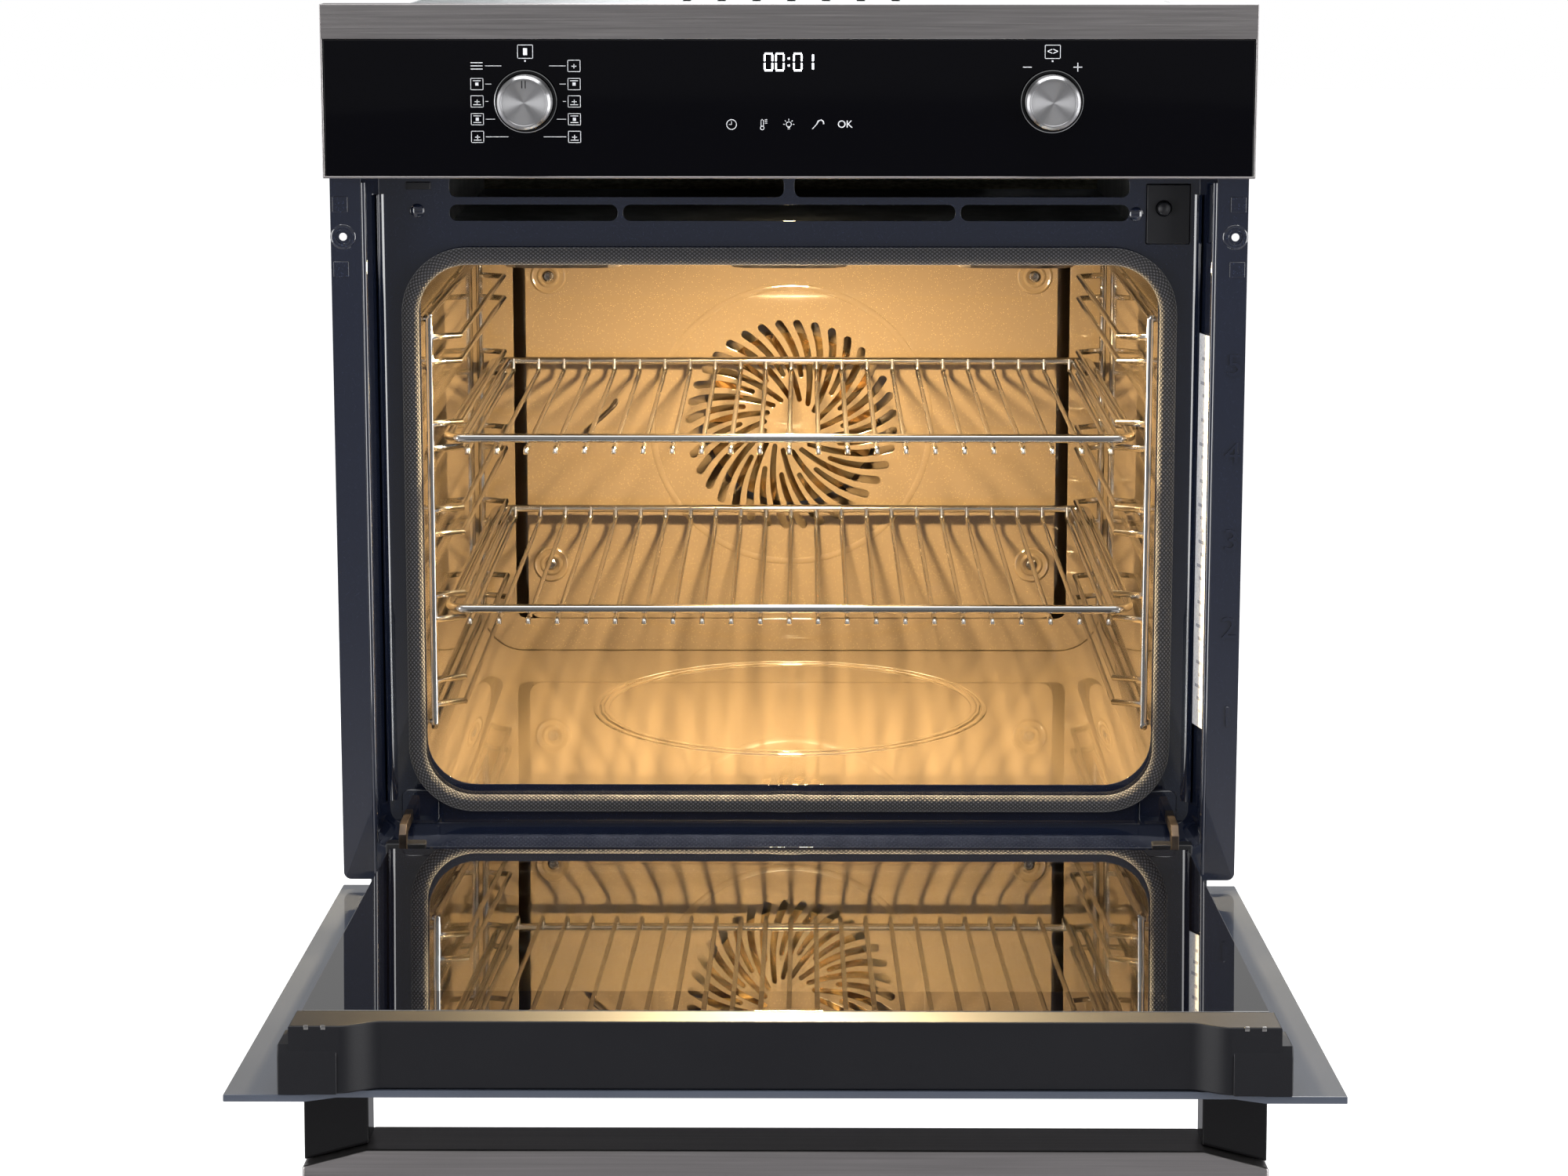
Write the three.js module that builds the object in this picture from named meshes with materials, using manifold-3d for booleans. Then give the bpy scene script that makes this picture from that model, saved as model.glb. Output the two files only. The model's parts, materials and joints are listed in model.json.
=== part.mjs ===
// A built-in wall oven with a drop-down door, shown with the door open and two wire shelves in it.
// Millimetres, +Z up. The front faces -Y, and +X is on the right of someone who faces it.
// The origin is the centre of the base plate's footprint, on the surface that the oven rests on.
// Inside the oven group, y is the depth behind the fascia's front face, and z is the height above
// the closed door's bottom edge. The door's pieces are written where they are when it is closed.
import * as THREE from "three";
import { mergeVertices } from "three/addons/utils/BufferGeometryUtils.js";
import { ConvexGeometry } from "three/addons/geometries/ConvexGeometry.js";
import Module from "manifold-3d";

const wasm = await Module();
wasm.setup();

// ---- Driving dimensions ----

// Whole oven
const width = 595;
const height = 595;
const depth = 567;
const baseHeight = 7; // underside of the base plate
const doorOpenAngle = 86.55; // degrees from closed
const sheet = 1.2; // pressed steel
const fit = 0.4; // gap between pieces that touch
const overshoot = 1; // how far a cut runs past what it cuts
const holeGap = 1; // round a heater leg in its hole

// Front frame: a flange, a drafted recess for the door, and the plate around the cavity
const flangeFront = 20;
const flangeInset = 1.5;
const flangeBottom = 15.9;
const flangeTopGap = 6;
const flangeRadius = 5;
const recessInset = 21.5;
const recessBottom = 38.2;
const recessTopGap = 20;
const recessDraft = 8;
const recessRadius = 9.5;
const ventHeight = 10.7;
const ventDrop = 21.4; // top of the lower vent row below the fascia
const ventInset = 11.5; // from the switch pocket
const ventCentreHalf = 108.6;
const ventBridge = 3.4;
const ventCorner = 5;
const upperVentHeight = 14;
const upperVentDrop = 2.5;
const fixingHoleInset = 8; // from the flange's edge
const fixingHoleDrop = 39.5; // below the fascia
const fixingHoleRadius = 2.6;

// Casing
const casingFront = 26;
const casingTopGap = 12;
const casingFlangeGap = 2.4; // the side panels stop short of the flange's seat
const jogHeight = 17.5; // the base plate's front edge rises over the door's swing to this height
const louvreCount = 7;
const louvrePitch = 26;
const louvreWidth = 6;
const louvreLength = 70;
const rearLouvreLength = 52.5;
const rearLouvreRise = 17.5; // over the cavity's ceiling

// Cavity
const cavityInset = 55.5;
const cavityBottom = 73;
const cavityTopDrop = 57.5; // ceiling below the fascia
const cavityBackGap = 62; // cavity's rear wall from the oven's back
const cavityRadius = 32;
const floorRingRadius = 138;
const floorRingDepth = 272;
const floorRingBead = 1.6;
const insulationSide = 25;
const insulationTop = 17.8;
const insulationBottom = 28;
const elementGap = 13.8; // under the floor, for the base element

// Gasket
const gasketSide = 11.6;
const gasketTop = 10.5;
const gasketBottom = 15.5;
const gasketLap = 0.5; // inner edge behind the cavity's sides
const gasketRadius = 40;
const gasketThickness = 8;
const gasketDrop = 2; // the ring sits this much lower than the mouth

// Fan compartment
const fanSpace = 50; // from the fan cover to the cavity's rear wall
const fanCoverInset = 36;
const fanCoverTopGap = 2;
const fanCoverBottomGap = 26;
const fanRise = 2.6; // fan axis above the middle of the cavity
const fanDiscGap = 12; // from the rear wall
const fanBladeDepth = 26;
const fanBladeLength = 25.8;
const fanRadius = 68;
const fanHub = 12;
const fanBlades = 14;
const shaftRadius = 4;
const shaftGap = 2;
const shaftTail = 16; // behind the rear wall
const boreTail = 18;
const slotCount = 36;
const slotOuter = 82;
const slotInner = 24;
const slotShortInner = 44;
const slotWidth = 4.4;
const slotTwist = 38; // degrees
const coverScrewInset = 18; // from the cover's sides
const coverScrewDrop = 58; // upper screws below the ceiling
const coverScrewRise = 69; // lower screws above the floor
const screwHead = 5;
const screwShank = 2;
const screwLength = 8;
const screwCrown = 2.6;
const screwFace = 3.5; // flat radius on the head
const ringHeaterRadius = 95;
const ringHeaterGap = 23; // behind the fan cover
const motorRadius = 36;
const motorLength = 40;
const motorFootHalf = 57.6;
const motorFootHeight = 20;

// Heating elements
const elementRadius = 3.2;
const elementBend = 18;
const elementLegX = 30;
const elementTail = 16; // behind the rear wall
const grillDrop = 7.5; // grill element below the ceiling
const grillRuns = 6;
const grillInset = 52; // outer runs from the cavity's sides
const grillFront = 92;
const grillOuterGap = 17; // outer runs' rear ends in front of the fan cover
const grillInnerGap = 65;
const baseElementInset = 72;
const baseElementFront = 110;
const baseElementRearGap = 35;

// Lamp in the ceiling
const lampDepth = 150;
const lampHalfWidth = 35;
const lampHalfLength = 30;
const lampWall = 2;
const lampGlassThickness = 4;
const bulbRadius = 6;
const bulbSocketRim = 2;

// Side racks and shelves
const railGap = 4; // shelf rails from the cavity's sides to the uprights' centres
const railReach = 19.5; // how far the rails stand in from the uprights
const railRadius = 2.25;
const uprightRadius = 2.5;
const rackFront = 61;
const rackRearGap = 36; // from the fan cover
const rackMargin = 14.6; // upright past the lowest and highest rails
const firstRail = 52.6; // above the cavity floor
const railPitch = 58;
const railPair = 16.7;
const railCeiling = 52.7; // least space over the highest rail
const shelfBarRadius = 3;
const shelfWireRadius = 1.4;
const shelfWireDrop = 8;
const shelfWirePitch = 19.5;
const shelfFront = 70;
const shelfRearGap = 15; // from the fan cover
const shelfEdgeGap = 13; // outer side bar from the cavity's side
const shelfCorner = 14;

// Fascia
const fasciaHeight = 110.5;
const fasciaWall = 1.4;
const stripHeight = 22;
const fasciaGlass = 4;
const glassFront = 0.2; // behind the trim's front edge
const carrierThickness = 3;
const carrierRim = 2;
const knobInset = 130.2; // from the fascia's ends
const knobRise = 49.1;
const knobRadius = 17.25;
const knobReach = 16; // in front of the fascia
const knobDish = 1.2;
const knobRim = 4;
const knobChamfer = 2;
const knobTailGap = 1; // in front of the carrier
const bezelWall = 2.2;
const bezelGap = 0.55; // round the knob
const bezelReach = 0.8;
const spindleRadius = 3;
const spindleEnd = 28;
const switchHalf = 18;
const switchDepth = 28;
const displayHalfWidth = 42;
const displayHalfHeight = 11.5;
const displayRise = 74;
const displayDepth = 12;
const displayLapX = 4; // of the carrier over the display
const displayLapZ = 2;
const boardGap = 21.3; // from the switches
const boardHeight = 64;
const boardThickness = 1.6;

// Cooling blower and duct
const ductHeight = 37;
const ductRearGap = 85; // in front of the blower's axis
const ductOverlap = 4; // duct past the vents at each side
const blowerBackGap = 152; // axis from the oven's back
const blowerRadius = 28;
const blowerClearance = 15;
const blowerHalf = 98;
const blowerBlades = 12;
const blowerBladeHeight = 7.3;
const blowerDisc = 2;
const blowerEndGap = 5;
const blowerShaftRadius = 3;
const blowerShaftGap = 2;
const blowerShaftTail = 16;
const blowerBoreTail = 18;
const blowerMotorRadius = 25;
const blowerMotorLength = 44;

// Door switch and mains terminal
const switchPocketInset = 36; // from the oven's side
const switchPocketWidth = 28;
const switchPocketTop = 8; // below the fascia
const switchPocketHeight = 38.8;
const switchBodyReach = 2; // in front of the plate
const switchBodyDepth = 28;
const plungerInset = 17.1; // from the pocket's outer edge
const plungerDrop = 23.5;
const plungerRadius = 4.6;
const plungerReach = 7.5;
const plungerTip = 1.8;
const plungerTail = 9;
const plungerBore = 14;
const terminalInset = 78.8; // from the casing's side
const terminalHalf = 30;
const terminalDrop = 63;
const terminalHeight = 40;
const terminalDepth = 32;
const cableEntryRadius = 7;

// Door
const hingeY = 8;
const hingeZ = 16;
const doorInset = 0.5;
const doorTopGap = 2.9;
const doorGlass = 4;
const outerGlassNotch = 8;
const outerGlassNotchInset = 51.5;
const doorDepth = 41.2;
const innerGlassInset = 38;
const innerGlassBottom = 57;
const capHeight = 31.6;
const capBeamDrop = 9.5;
const capHornInset = 35.5;
const capHornWidth = 26;
const capEarReach = 6;
const capEarDepth = 26;
const middleGlassDepth = 27;
const middleGlassThickness = 3;
const columnWidth = 24;
const railBottom = 18;
const railDepth = 18;
const railLedge = 10;
const hingeInset = 42.5;
const hingeCaseWidth = 27;
const hingeCaseBottom = 12;
const hingeCaseTop = 200;
const hingeCaseDepth = 18;
const hingeCaseMouth = 8; // open in front, over the pin
const hingeCaseGap = 1.5; // to the bottom rail
const armThickness = 5;
const armFront = 6.4;
const armBack = 12.4;
const armBottom = 48.5;
const armTop = 56;
const armTail = 98;
const armElbow = 6;
const armSlotGap = 1;
const pivotRadius = 3.4;
const pinRadius = 2.2;
const receiverHalf = 6;
const receiverRear = 106;
const receiverBelow = 6;
const receiverAbove = 8;
const receiverPlay = 2; // over the arm, to hook it in
const receiverMargin = 2; // in the insulation
const receiverMarginZ = 4;

// Handle
const handleInset = 36.5;
const handleFront = 53.4;
const handleThickness = 16;
const handleDrop = 36.6; // bar's upper edge below the door's top
const handleHeight = 43;
const bracketWidth = 35;
const bracketHeight = 24;
const mitreDepth = 8.9;

// ---- Sizes that follow ----

const half = width / 2;
const fasciaBottom = height - fasciaHeight;
const fasciaBack = flangeFront - fit;
const flangeHalf = half - flangeInset;
const flangeTop = height - flangeTopGap;
const recessHalf = half - recessInset;
const recessTop = height - recessTopGap;
const plateFront = doorDepth + gasketThickness + 2 * fit;
const plateBack = plateFront + sheet;
const behindPlate = plateBack + fit;
const casingHalf = recessHalf + 2 * sheet + fit;
const innerHalf = casingHalf - sheet - fit;
const casingTop = height - casingTopGap;
const cavityHalf = half - cavityInset;
const cavityTop = fasciaBottom - cavityTopDrop;
const shellTop = cavityTop + sheet;
const cavityBack = depth - cavityBackGap;
const fanCoverDepth = cavityBack - fanSpace;
const fanCoverHalf = cavityHalf - fanCoverInset;
const coverScrewX = fanCoverHalf - coverScrewInset;
const fanZ = (cavityBottom + cavityTop) / 2 + fanRise;
const ringHeaterDepth = fanCoverDepth + ringHeaterGap;
const ringLegZ = fanZ - ringHeaterRadius;
const grillZ = cavityTop - grillDrop;
const grillOuterRear = fanCoverDepth - grillOuterGap;
const grillInnerRear = fanCoverDepth - grillInnerGap;
const baseElementHalf = cavityHalf - baseElementInset;
const baseElementRear = fanCoverDepth - baseElementRearGap;
const elementEnd = cavityBack + elementTail;
const doorTop = fasciaBottom - doorTopGap;
const innerGlassHalf = half - innerGlassInset;
const innerGlassTop = doorTop - capHeight;
const capHornOuter = half - capHornInset;
const capHornInner = capHornOuter - capHornWidth;
const outerGlassNotchHalf = half - outerGlassNotchInset;
const handleHalf = half - handleInset;
const hingeX = half - hingeInset;
const switchPocketRight = half - switchPocketInset;
const switchPocketLeft = switchPocketRight - switchPocketWidth;
const plungerX = switchPocketRight - plungerInset;
const plungerZ = fasciaBottom - plungerDrop;
const ventHalf = switchPocketLeft - ventInset;
const terminalX = casingHalf - terminalInset;
const terminalTop = casingTop - terminalDrop + terminalHeight;
const blowerDepth = depth - blowerBackGap;
const ductRear = blowerDepth - ductRearGap;
const uprightX = cavityHalf - railGap;
const railX = uprightX - railReach;
const rackRear = fanCoverDepth - rackRearGap;
const shelfRear = fanCoverDepth - shelfRearGap;
const railCount = 1 + Math.floor(
  (cavityTop - cavityBottom - firstRail - railPair - railCeiling) / railPitch,
);
const railZ = (level) => cavityBottom + firstRail + (level - 1) * railPitch;
const upperLevel = railCount - 1;
const lowerLevel = Math.max(1, upperLevel - 2);
const carrierFront = glassFront + fasciaGlass + fit;
const carrierBack = carrierFront + carrierThickness;
const stripBottom = height - stripHeight;
const bezelRadius = knobRadius + bezelGap + bezelWall;
const knobX = half - knobInset;
const knobZ = fasciaBottom + knobRise;
const displayZ = fasciaBottom + displayRise;
const boardHalfWidth = knobX - switchHalf - boardGap;

// ---- Materials ----

function finish(color, roughness, metalness) {
  return new THREE.MeshStandardMaterial({ color, roughness, metalness });
}

const enamel = finish(0x1a1e2c, 0.25, 0);
const galvanised = finish(0xa9adaf, 0.45, 0.9);
const brushedSteel = finish(0x8a8883, 0.35, 1);
const chrome = finish(0xc8c8ca, 0.15, 1);
const blackGlass = finish(0x0b0b0e, 0.06, 0);
const clearGlass = finish(0x8c92a2, 0.05, 0);
const blackPlastic = finish(0x1b1b1e, 0.5, 0);
const glossPlastic = finish(0x08080b, 0.12, 0);
const glassFibre = finish(0x5a5a5f, 0.9, 0);
const mineralWool = finish(0xd8d2bf, 1, 0);
const heaterSteel = finish(0x4a4642, 0.5, 0.8);
const motorSteel = finish(0x6d7073, 0.5, 0.8);
const lampMaterial = finish(0xffe2a8, 0.2, 0);
const boardMaterial = finish(0x1d5a35, 0.5, 0);

// ---- Making solids ----

// A closed three.js geometry as a solid, without the empty triangles at a lathe's axis.
function solid(geometry) {
  const bare = new THREE.BufferGeometry();
  bare.setAttribute("position", geometry.getAttribute("position"));
  bare.setIndex(geometry.index);
  const merged = mergeVertices(bare, 1e-4);
  const corners = merged.index.array;
  const kept = [];
  for (let i = 0; i < corners.length; i += 3) {
    const [a, b, c] = corners.slice(i, i + 3);
    if (a !== b && b !== c && c !== a) kept.push(a, b, c);
  }
  return new wasm.Manifold(
    new wasm.Mesh({
      numProp: 3,
      vertProperties: new Float32Array(merged.attributes.position.array),
      triVerts: new Uint32Array(kept),
    }),
  );
}

function join(solids) {
  return solids.reduce((whole, next) => whole.add(next));
}

function cut(whole, solids) {
  return solids.reduce((rest, next) => rest.subtract(next), whole);
}

// A block between two values along each axis.
function block(x, y, z) {
  const geometry = new THREE.BoxGeometry(x[1] - x[0], y[1] - y[0], z[1] - z[0]);
  geometry.translate((x[0] + x[1]) / 2, (y[0] + y[1]) / 2, (z[0] + z[1]) / 2);
  return solid(geometry);
}

// A round bar between two points.
function rod(from, to, radius, facets = 16) {
  const start = new THREE.Vector3(...from);
  const along = new THREE.Vector3(...to).sub(start);
  const geometry = new THREE.CylinderGeometry(radius, radius, along.length(), facets);
  geometry.translate(0, along.length() / 2, 0);
  const up = new THREE.Vector3(0, 1, 0);
  const turn = new THREE.Quaternion().setFromUnitVectors(up, along.normalize());
  geometry.applyQuaternion(turn);
  geometry.translate(start.x, start.y, start.z);
  return solid(geometry);
}

// An outline drawn in the plane across an axis, pushed along that axis from one value to another.
// Across x the outline is (y, z), across y it is (x, z), and across z it is (x, y).
function extrude(outline, axis, from, to) {
  const geometry = new THREE.ExtrudeGeometry(outline, {
    depth: to - from,
    bevelEnabled: false,
    curveSegments: 6,
  });
  const x = new THREE.Vector3(1, 0, 0);
  const y = new THREE.Vector3(0, 1, 0);
  const z = new THREE.Vector3(0, 0, 1);
  const turn = new THREE.Matrix4();
  if (axis === "x") turn.makeBasis(y, z, x).setPosition(from, 0, 0);
  if (axis === "y") turn.makeBasis(x, z, y.negate()).setPosition(0, to, 0);
  if (axis === "z") turn.setPosition(0, 0, from);
  geometry.applyMatrix4(turn);
  return solid(geometry);
}

function polygon(points) {
  return new THREE.Shape(points.map(([x, y]) => new THREE.Vector2(x, y)));
}

// A rectangle with round corners, centred on x = 0.
function roundedOutline(halfWidth, low, high, radius) {
  const outline = new THREE.Shape();
  const quarter = Math.PI / 2;
  outline.absarc(halfWidth - radius, low + radius, radius, -quarter, 0);
  outline.absarc(halfWidth - radius, high - radius, radius, 0, quarter);
  outline.absarc(radius - halfWidth, high - radius, radius, quarter, 2 * quarter);
  outline.absarc(radius - halfWidth, low + radius, radius, 2 * quarter, 3 * quarter);
  return outline;
}

// A body of revolution round an axis along y, from (radius, y) pairs.
function turned(profile, x, z, facets = 32) {
  const points = profile.map(([radius, y]) => new THREE.Vector2(radius, y));
  const geometry = new THREE.LatheGeometry(points, facets);
  geometry.translate(x, 0, z);
  const made = solid(geometry);
  if (made.volume() > 0) return made;
  return turned([...profile].reverse(), x, z, facets);
}

// A path that an extrusion steps along from corner to corner.
class WirePath extends THREE.Curve {
  constructor(points) {
    super();
    this.points = points.map((point) => new THREE.Vector3(...point));
  }

  getPoint(share) {
    const last = this.points.length - 1;
    const place = share * last;
    const i = Math.min(Math.floor(place), last - 1);
    return this.points[i].clone().lerp(this.points[i + 1], place - i);
  }

  getPointAt(share) {
    return this.getPoint(share);
  }

  getTangentAt(share) {
    const last = this.points.length - 1;
    const i = Math.round(share * last);
    const here = this.points[i];
    const arriving = here.clone().sub(this.points[Math.max(i - 1, 0)]).normalize();
    const leaving = this.points[Math.min(i + 1, last)].clone().sub(here).normalize();
    return arriving.add(leaving).normalize();
  }
}

function wire(points, radius, facets = 6) {
  const ring = [];
  for (let i = 0; i < facets; i += 1) {
    const angle = ((i + 0.5) / facets) * 2 * Math.PI;
    ring.push([radius * Math.cos(angle), radius * Math.sin(angle)]);
  }
  const geometry = new THREE.ExtrudeGeometry(polygon(ring), {
    steps: points.length - 1,
    bevelEnabled: false,
    extrudePath: new WirePath(points),
  });
  return solid(geometry);
}

// The corners of a path, each rounded off with a few points.
function bent(points, radius, pieces = 3) {
  const path = [points[0]];
  for (let i = 1; i < points.length - 1; i += 1) {
    const corner = new THREE.Vector3(...points[i]);
    const before = new THREE.Vector3(...points[i - 1]).sub(corner).setLength(radius);
    const after = new THREE.Vector3(...points[i + 1]).sub(corner).setLength(radius);
    const curve = new THREE.QuadraticBezierCurve3(
      before.add(corner),
      corner,
      after.add(corner),
    );
    for (const point of curve.getPoints(pieces)) path.push(point.toArray());
  }
  path.push(points[points.length - 1]);
  return path;
}

function piece(group, name, made, material) {
  const { vertProperties, triVerts } = made.getMesh();
  const geometry = new THREE.BufferGeometry();
  geometry.setAttribute("position", new THREE.BufferAttribute(vertProperties, 3));
  geometry.setIndex(new THREE.BufferAttribute(triVerts, 1));
  geometry.computeVertexNormals();
  const mesh = new THREE.Mesh(geometry, material);
  mesh.name = name;
  group.add(mesh);
}

const sides = [
  ["left", -1],
  ["right", 1],
];

// The values low..high on a side: mirrored on the left.
function spanOn(side, low, high) {
  return side < 0 ? [-high, -low] : [low, high];
}

const root = new THREE.Group();
const oven = new THREE.Group();
oven.position.set(0, -(casingFront + depth) / 2, -baseHeight);
root.add(oven);

// ---- Casing ----

function addCasing() {
  const floorPlate = block(
    [-innerHalf, innerHalf],
    [casingFront, depth],
    [baseHeight, baseHeight + sheet],
  );
  const riser = block(
    [-innerHalf, innerHalf],
    [casingFront, casingFront + sheet],
    [baseHeight, jogHeight + sheet],
  );
  const jog = block(
    [-innerHalf, innerHalf],
    [flangeFront + sheet + fit, casingFront + sheet],
    [jogHeight, jogHeight + sheet],
  );
  piece(oven, "base_plate", join([floorPlate, riser, jog]), galvanised);

  const panelFront = flangeFront + sheet + casingFlangeGap;
  for (const [label, side] of sides) {
    const panel = block(
      spanOn(side, casingHalf - sheet, casingHalf),
      [panelFront, depth],
      [baseHeight, casingTop],
    );
    const swingNotch = block(
      spanOn(side, casingHalf - 2 * sheet, casingHalf + sheet),
      [panelFront - sheet, casingFront],
      [baseHeight - sheet, jogHeight],
    );
    piece(oven, `${label}_side_panel`, cut(panel, [swingNotch]), galvanised);
  }

  const lid = block(
    [-innerHalf, innerHalf],
    [panelFront, depth],
    [casingTop - sheet, casingTop],
  );
  piece(oven, "top_cover", cut(lid, lidVents()), galvanised);

  const rearPanel = block(
    [-innerHalf, innerHalf],
    [depth - sheet, depth],
    [baseHeight + sheet + fit, casingTop - sheet - fit],
  );
  piece(oven, "rear_panel", cut(rearPanel, [terminalCutout(), ...rearVents()]), galvanised);
}

function lidVents() {
  const vents = [];
  for (let i = 0; i < louvreCount; i += 1) {
    const x = (i - (louvreCount - 1) / 2) * louvrePitch;
    vents.push(
      block(
        [x - louvreWidth / 2, x + louvreWidth / 2],
        [blowerDepth - louvreLength / 2, blowerDepth + louvreLength / 2],
        [casingTop - 2 * sheet, casingTop + sheet],
      ),
    );
  }
  return vents;
}

function rearVents() {
  const vents = [];
  for (let i = 0; i < louvreCount; i += 1) {
    const x = (i - (louvreCount - 1) / 2) * louvrePitch;
    vents.push(
      block(
        [x - louvreWidth / 2, x + louvreWidth / 2],
        [depth - 2 * sheet, depth + sheet],
        [cavityTop + rearLouvreRise, cavityTop + rearLouvreRise + rearLouvreLength],
      ),
    );
  }
  return vents;
}

// ---- Front frame ----

// The recess in the frame: straight at the flange, then drafted to the plate.
function tray(grow, backY) {
  const radius = recessRadius + grow;
  const mouth = roundedOutline(
    recessHalf + grow,
    recessBottom - grow,
    recessTop + grow,
    radius,
  );
  const back = roundedOutline(
    recessHalf + grow - recessDraft,
    recessBottom - grow + recessDraft,
    recessTop + grow - recessDraft,
    radius,
  );
  const points = [];
  for (const point of mouth.getPoints(4)) {
    if (grow === 0) points.push(new THREE.Vector3(point.x, flangeFront - sheet, point.y));
    points.push(new THREE.Vector3(point.x, flangeFront, point.y));
  }
  for (const point of back.getPoints(4)) {
    points.push(new THREE.Vector3(point.x, backY, point.y));
  }
  return solid(new ConvexGeometry(points));
}

function throughPlate(x, z) {
  return block(x, [plateFront - sheet, plateBack + sheet], z);
}

// A vent with round ends, between two values of x and two of z.
function ventHole(x, z) {
  const outline = roundedOutline((x[1] - x[0]) / 2, z[0], z[1], ventCorner);
  const hole = extrude(outline, "y", plateFront - sheet, plateBack + sheet);
  return hole.translate([(x[0] + x[1]) / 2, 0, 0]);
}

function frameVents() {
  const lower = [fasciaBottom - ventDrop - ventHeight, fasciaBottom - ventDrop];
  const upper = [
    fasciaBottom - upperVentDrop - upperVentHeight,
    fasciaBottom - upperVentDrop,
  ];
  const vents = [ventHole([-ventCentreHalf, ventCentreHalf], lower)];
  for (const [, side] of sides) {
    vents.push(ventHole(spanOn(side, ventCentreHalf + ventBridge, ventHalf), lower));
    vents.push(ventHole(spanOn(side, ventBridge, ventHalf), upper));
  }
  return vents;
}

function switchPocket(clearance) {
  const top = fasciaBottom - switchPocketTop;
  return {
    x: [switchPocketLeft - clearance, switchPocketRight + clearance],
    z: [top - switchPocketHeight - clearance, top + clearance],
  };
}

function addFrontFrame() {
  const flange = extrude(
    roundedOutline(flangeHalf, flangeBottom, flangeTop, flangeRadius),
    "y",
    flangeFront,
    flangeFront + sheet,
  );
  const mouth = extrude(
    roundedOutline(cavityHalf, cavityBottom, cavityTop, cavityRadius),
    "y",
    plateFront - sheet,
    plateBack + sheet,
  );
  const pocket = switchPocket(fit);
  const armSlots = sides.map(([, side]) =>
    throughPlate(
      spanOn(side, hingeX - armThickness, hingeX + armThickness),
      [armBottom - armSlotGap, armTop + armSlotGap],
    ),
  );
  const fixingHoles = sides.map(([, side]) => {
    const x = side * (flangeHalf - fixingHoleInset);
    const z = fasciaBottom - fixingHoleDrop;
    return rod([x, flangeFront - sheet, z], [x, flangeFront + 2 * sheet, z], fixingHoleRadius);
  });
  const frame = cut(join([flange, tray(sheet, plateBack)]), [
    tray(0, plateFront),
    ...fixingHoles,
    mouth,
    throughPlate(pocket.x, pocket.z),
    ...frameVents(),
    ...armSlots,
  ]);
  piece(oven, "front_frame", frame, enamel);
}

// ---- Cavity ----

function cavityOutline(grow) {
  return roundedOutline(
    cavityHalf + grow,
    cavityBottom - grow,
    cavityTop + grow,
    cavityRadius + grow,
  );
}

// A tube of a shape, with a hole of another shape through it.
function sleeve(outer, inner, from, to) {
  return cut(extrude(outer, "y", from, to), [extrude(inner, "y", from - overshoot, to + overshoot)]);
}

function lampWindow(grow, low, high) {
  return block(
    [grow - lampHalfWidth, lampHalfWidth - grow],
    [lampDepth - lampHalfLength + grow, lampDepth + lampHalfLength - grow],
    [low, high],
  );
}

function elementHoles(from, to, radius) {
  return [-elementLegX, elementLegX].flatMap((x) => [
    rod([x, from, grillZ], [x, to, grillZ], radius, 10),
    rod([x, from, ringLegZ], [x, to, ringLegZ], radius, 10),
  ]);
}

function addCavity() {
  const beadMade = new THREE.TorusGeometry(floorRingRadius, floorRingBead, 6, 36);
  beadMade.translate(0, floorRingDepth, cavityBottom);
  const wrapper = join([
    sleeve(cavityOutline(sheet), cavityOutline(0), behindPlate, cavityBack),
    solid(beadMade),
  ]);
  const lampHole = lampWindow(lampWall + fit, cavityTop - sheet, shellTop + sheet);
  piece(oven, "cavity_wrapper", cut(wrapper, [lampHole]), enamel);

  const backPlate = extrude(
    cavityOutline(sheet),
    "y",
    cavityBack + fit,
    cavityBack + fit + sheet,
  );
  const shaftHole = rod(
    [0, cavityBack - sheet, fanZ],
    [0, cavityBack + 3 * sheet, fanZ],
    shaftRadius + shaftGap,
    12,
  );
  const legHoles = elementHoles(
    cavityBack - sheet,
    cavityBack + 3 * sheet,
    elementRadius + holeGap,
  );
  piece(oven, "cavity_back", cut(backPlate, [shaftHole, ...legHoles]), enamel);

  const gap = sheet + fit;
  const blanketOuter = roundedOutline(
    cavityHalf + gap + insulationSide,
    cavityBottom - elementGap - insulationBottom - gap,
    cavityTop + gap + insulationTop,
    cavityRadius,
  );
  const blanketInner = roundedOutline(
    cavityHalf + gap,
    cavityBottom - elementGap - gap,
    cavityTop + gap,
    cavityRadius,
  );
  const hingePockets = sides.map(([, side]) =>
    block(
      spanOn(side, hingeX - receiverHalf - receiverMargin, casingHalf),
      [plateFront, receiverRear + receiverMargin],
      [armBottom - receiverBelow - receiverMarginZ, armTop + receiverAbove + receiverMarginZ],
    ),
  );
  const pocket = switchPocket(fit);
  const switchNotch = block(
    [pocket.x[0], casingHalf],
    [plateFront, plateFront - switchBodyReach + switchBodyDepth + fit],
    [pocket.z[0], fasciaBottom],
  );
  const blanket = cut(sleeve(blanketOuter, blanketInner, behindPlate, cavityBack), [
    lampWindow(-overshoot, cavityTop, cavityTop + gap + 2 * insulationTop),
    switchNotch,
    ...hingePockets,
  ]);
  piece(oven, "insulation_blanket", blanket, mineralWool);
}

function addGasket() {
  const outer = roundedOutline(
    cavityHalf + gasketLap + gasketSide,
    cavityBottom - gasketBottom - gasketDrop,
    cavityTop + gasketTop - gasketDrop,
    gasketRadius,
  );
  const inner = roundedOutline(
    cavityHalf + gasketLap,
    cavityBottom - gasketDrop,
    cavityTop - gasketDrop,
    gasketRadius - gasketSide,
  );
  const ring = sleeve(outer, inner, doorDepth + fit, plateFront - fit);
  piece(oven, "door_gasket", ring, glassFibre);
}

// ---- Lamp ----

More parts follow.
